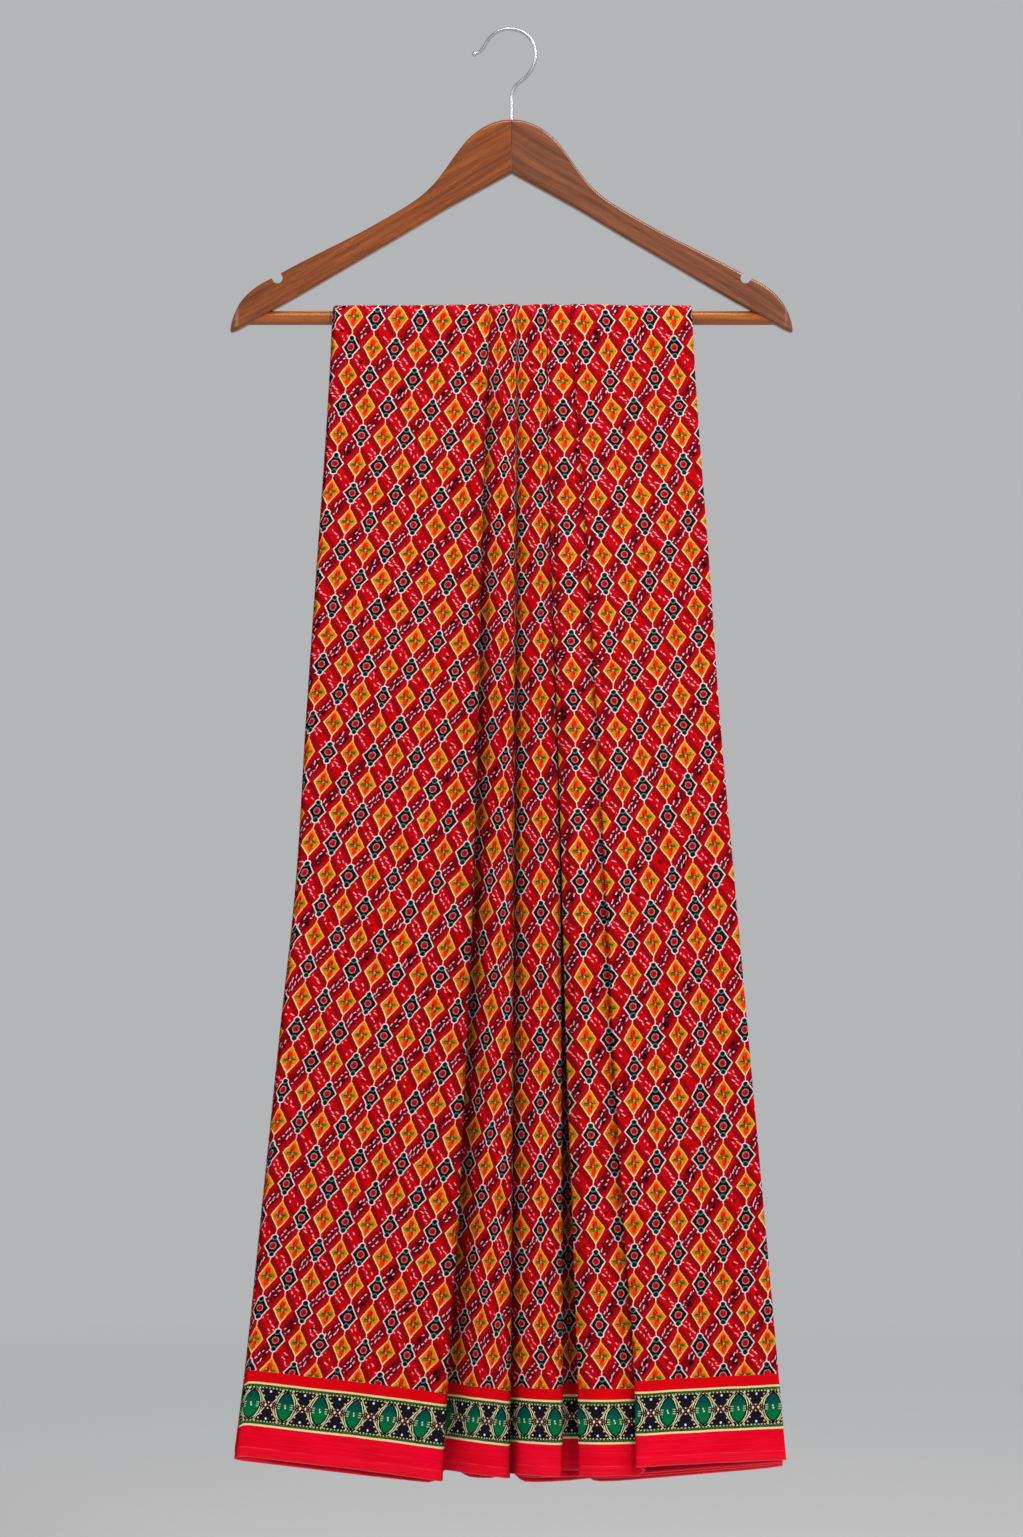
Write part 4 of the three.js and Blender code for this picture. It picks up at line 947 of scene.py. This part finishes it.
def arm_shape(side):
    # the middle bow of the upper edge is round, so the stations are taken closely there
    xs = np.concatenate([[0.03, 0.5], np.linspace(1, 214, 150), np.linspace(215, 221.2, 14), 221.2 + 0.9 * np.sin(np.linspace(0.25, 1, 7) * math.pi / 2)])
    rings = []
    for x in xs:
        top, under = curve(ARM[:, 0], ARM[:, 1], x), curve(ARM[:, 0], ARM[:, 2], x)
        near = np.clip((x - 214) / 8.1, 0, 1)
        deep = ARM_DEEP * (1 - 0.45 * near * near)
        close = math.sqrt(max(0.0, 1 - (max(0.0, x - 221.2) / 0.92) ** 2))
        if x < 0.4:  # the mitre's edge is eased
            top, under, deep = top - 0.4, under + 0.4, deep - 0.8
        mid, tall = (top + under) / 2, (top - under) * (0.25 + 0.75 * close)
        deep *= 0.25 + 0.75 * close
        top, under = mid + tall / 2, mid - tall / 2
        r = min(ARM_ROUND, tall * 0.46, deep * 0.46)
        ring = []
        for cy, cz, start in ((deep / 2 - r, top - r, 0), (-deep / 2 + r, top - r, 90), (-deep / 2 + r, under + r, 180), (deep / 2 - r, under + r, 270)):
            for q in range(8):
                t = math.radians(start + 90 * q / 7)
                ring.append((x, cy + r * math.cos(t), cz + r * math.sin(t)))
        rings.append(ring)
    body = loft("arm_blank", rings)

    # the strap notch, square to the upper edge, with eased lips
    z0 = curve(ARM[:, 0], ARM[:, 1], NOTCH_AT)
    lean = math.atan2(curve(ARM[:, 0], ARM[:, 1], NOTCH_AT + 6) - curve(ARM[:, 0], ARM[:, 1], NOTCH_AT - 6), 12)
    w = NOTCH_WIDE / 2
    line = [(-w - 2.2, 12), (-w - 2.2, 0.9), (-w - 1.1, 0.35), (-w - 0.35, -0.3), (-w, -1.3)]
    line += [(w * math.cos(t), -NOTCH_DEEP + w + w * math.sin(t)) for t in np.linspace(math.pi, 2 * math.pi, 17)]
    line += [(w, -1.3), (w + 0.35, -0.3), (w + 1.1, 0.35), (w + 2.2, 0.9), (w + 2.2, 12)]
    c, s = math.cos(lean), math.sin(lean)
    slot = [[(NOTCH_AT + a * c - b * s, y, z0 + a * s + b * c) for a, b in line] for y in (12, -12)]
    cuts = [loft("cut_notch", slot)]
    hole = [[(x, (BAR_R + 0.3) * math.cos(t), BAR_Z + (BAR_R + 0.3) * math.sin(t)) for t in np.linspace(0, 2 * math.pi, 49)[:-1]] for x in (150.0, 211.3)]
    cuts.append(loft("cut_bar", hole))
    stem = [[(1.7 * math.cos(t), 1.7 * math.sin(t), z) for t in np.linspace(0, 2 * math.pi, 33)[:-1]] for z in (-95.0, -60.0)]
    cuts.append(loft("cut_stem", stem))
    for cut in cuts:
        m = body.modifiers.new("cut", "BOOLEAN")
        m.operation, m.solver, m.object = "DIFFERENCE", "EXACT", cut
    me = bpy.data.meshes.new_from_object(body.evaluated_get(bpy.context.evaluated_depsgraph_get()))
    for o in [body] + cuts:
        bpy.data.objects.remove(o)
    if side < 0:
        co = np.empty(len(me.vertices) * 3, np.float32)
        me.vertices.foreach_get("co", co)
        co[0::3] *= -1
        me.vertices.foreach_set("co", co)
        me.flip_normals()
    me.materials.clear()
    me.polygons.foreach_set("use_smooth", np.ones(len(me.polygons), bool))
    me.set_sharp_from_angle(angle=math.radians(38))
    name = "wooden_arm_" + ("right" if side > 0 else "left")
    me.name = name
    o = bpy.data.objects.new(name, me)
    bpy.context.scene.collection.objects.link(o)
    m = o.modifiers.new("even", "WEIGHTED_NORMAL")
    m.keep_sharp, m.weight = True, 80
    return o


def wire_path():
    """The hook's bends as a smooth line, from the stem's foot to the ball."""
    bends = np.array([
        (0, -94.7), (0, -76), (0, -58), (0.1, -51.5), (3.3, -43.9), (12.9, -35.2), (18.3, -24.8), (18.8, -15.4), (15.0, -6.6), (7.6, -0.6),
        (-1.7, 1.4), (-11.0, -0.8), (-18.2, -7.0), (-22.4, -13.9), (-25.4, -16.8), (-29.2, -18.4),
    ], float)
    gap = np.sqrt(np.linalg.norm(np.diff(bends, axis=0), axis=1))
    t = np.concatenate([[0], np.cumsum(gap)])
    ends = np.vstack([2 * bends[0] - bends[1], bends, 2 * bends[-1] - bends[-2]])
    te = np.concatenate([[-gap[0]], t, [t[-1] + gap[-1]]])
    out = []
    for k in range(1, len(ends) - 2):
        p0, p1, p2, p3 = ends[k - 1:k + 3]
        t0, t1, t2, t3 = te[k - 1:k + 3]
        for q in np.linspace(t1, t2, 19)[:-1]:
            a1 = (t1 - q) / (t1 - t0) * p0 + (q - t0) / (t1 - t0) * p1
            a2 = (t2 - q) / (t2 - t1) * p1 + (q - t1) / (t2 - t1) * p2
            a3 = (t3 - q) / (t3 - t2) * p2 + (q - t2) / (t3 - t2) * p3
            b1 = (t2 - q) / (t2 - t0) * a1 + (q - t0) / (t2 - t0) * a2
            b2 = (t3 - q) / (t3 - t1) * a2 + (q - t1) / (t3 - t1) * a3
            out.append((t2 - q) / (t2 - t1) * b1 + (q - t1) / (t2 - t1) * b2)
    out.append(bends[-1])
    return np.array(out)


def wire_hook():
    path = wire_path()
    end, way = path[-1], path[-1] - path[-2]
    way = way / np.linalg.norm(way)
    ball, wire = 2.1, 1.4
    reach = np.linspace(math.asin(wire / ball), math.pi - 0.12, 12)
    path = list(path[:-2])
    radii = [wire] * len(path)
    # the wire runs into the ball where the ball is as wide as the wire
    for t in reach:
        path.append(end - way * ball * math.cos(t))
        radii.append(ball * math.sin(t))
    path = np.array(path)
    keep = [0]
    for k in range(1, len(path)):
        if np.linalg.norm(path[k] - path[keep[-1]]) > 0.05:
            keep.append(k)
    rings = []
    for k in keep:
        a, b = path[max(k - 1, 0)], path[min(k + 1, len(path) - 1)]
        d = (b - a) / np.linalg.norm(b - a)
        n = np.array([-d[1], d[0]])
        rings.append([(path[k][0] + n[0] * radii[k] * math.cos(t), radii[k] * math.sin(t), path[k][1] + n[1] * radii[k] * math.cos(t)) for t in np.linspace(0, 2 * math.pi, 25)[:-1]])
    return loft("wire_hook", rings, 60)


arm_l, arm_r, hook = arm_shape(-1), arm_shape(1), wire_hook()
for o, mat, node in (
    (arm_l, wood_material("walnut_left", warm, 31, 2.3), "arm_left"),
    (arm_r, wood_material("walnut_right", cool, -31, 7.9), "arm_right"),
    (hook, steel_material(), "hook"),
):
    o.data.materials.append(mat)
    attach(o, "root")
    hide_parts(node)
    "hook_steel" if node == "hook" else "hanger_wood"
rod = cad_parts["bar"]
rod_wood = wood_material("bar_wood", barw, 0, 4.4, 0.42)
if not rod.material_slots:
    rod.data.materials.append(rod_wood)
for place in rod.material_slots:
    place.material = rod_wood

# ---------------------------------------------------------------- floor and light
WALL, CEILING = (0.455, 0.462, 0.472), (0.14, 0.14, 0.145)
floor_me = bpy.data.meshes.new("floor")
n, spans = 96, (0.35, 0.8, 1.4, 2.2, 3.2, 4.4, 6.0, 8.0)
ring = [(0.0, 0.0, 0.0)] + [(q * math.cos(2 * math.pi * k / n), q * math.sin(2 * math.pi * k / n), 0) for q in spans for k in range(n)]
tiles = [(0, 1 + k, 1 + (k + 1) % n) for k in range(n)]
for q in range(len(spans) - 1):
    a0 = 1 + q * n
    tiles += [(a0 + k, a0 + n + k, a0 + n + (k + 1) % n, a0 + (k + 1) % n) for k in range(n)]
floor_me.from_pydata(ring, [], tiles)
floor = bpy.data.objects.new("floor", floor_me)
floor.location = (0, 0, -1.36)
bpy.context.scene.collection.objects.link(floor)
FT = Tree("floor_paint")
FT.bsdf.inputs["Base Color"].default_value = (0.66, 0.66, 0.665, 1)
FT.bsdf.inputs["Roughness"].default_value = 0.95
FT.bsdf.inputs["Specular IOR Level"].default_value = 0.1
where = FT.t.nodes.new("ShaderNodeTexCoord")
fx, fy, _ = FT.split(where.outputs["Object"])
FT.put(FT.bsdf.inputs["Alpha"], 1.0 - length2(fx, fy).over(1.7, 2.2))
floor_me.materials.append(FT.mat)

world = bpy.data.worlds.new("studio")
bpy.context.scene.world = world
world.use_nodes = True
wt = world.node_tree
bg = wt.nodes["Background"]
sky = wt.nodes.new("ShaderNodeTexCoord")
up = wt.nodes.new("ShaderNodeSeparateXYZ")
wt.links.new(sky.outputs["Generated"], up.inputs[0])
shade = wt.nodes.new("ShaderNodeValToRGB")
wt.links.new(up.outputs[2], shade.inputs[0])
shade.color_ramp.interpolation = "EASE"
stops = shade.color_ramp.elements
stops[0].position, stops[0].color = 0.28, (*WALL, 1)
stops[1].position, stops[1].color = 0.72, (*CEILING, 1)
wt.links.new(shade.outputs[0], bg.inputs[0])
bg.inputs[1].default_value = 1.0


def area(name, place, aim, size, power, colour=(1, 1, 1)):
    d = bpy.data.lights.new(name, "AREA")
    d.shape = "RECTANGLE"
    d.size, d.size_y = size
    d.energy = power
    d.color = colour
    o = bpy.data.objects.new(name, d)
    bpy.context.scene.collection.objects.link(o)
    o.location = place
    from mathutils import Vector
    o.rotation_euler = (Vector(aim) - Vector(place)).to_track_quat("-Z", "Y").to_euler()
    return o


area("key", (2.1, -2.8, 1.0), (0, 0, -0.6), (0.9, 1.2), 54, (1.0, 0.98, 0.95))
area("fill", (-2.2, -3.0, 0.5), (0, 0, -0.6), (1.6, 1.8), 28, (0.95, 0.97, 1.0))
area("back_top", (0.6, 2.4, 1.4), (0, 0, -0.5), (2.0, 1.0), 26).visible_glossy = False
area("above", (0.3, -0.55, 1.25), (0.05, 0, -0.2), (1.9, 0.5), 22, (1.0, 0.98, 0.96))
area("rim", (1.0, -0.3, 0.95), (0.1, 0, -0.15), (0.5, 0.5), 9, (1.0, 0.99, 0.97))


bpy.context.scene.view_settings.view_transform = "Standard"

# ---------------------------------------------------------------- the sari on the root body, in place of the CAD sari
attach(sari, "root")
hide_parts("sari")
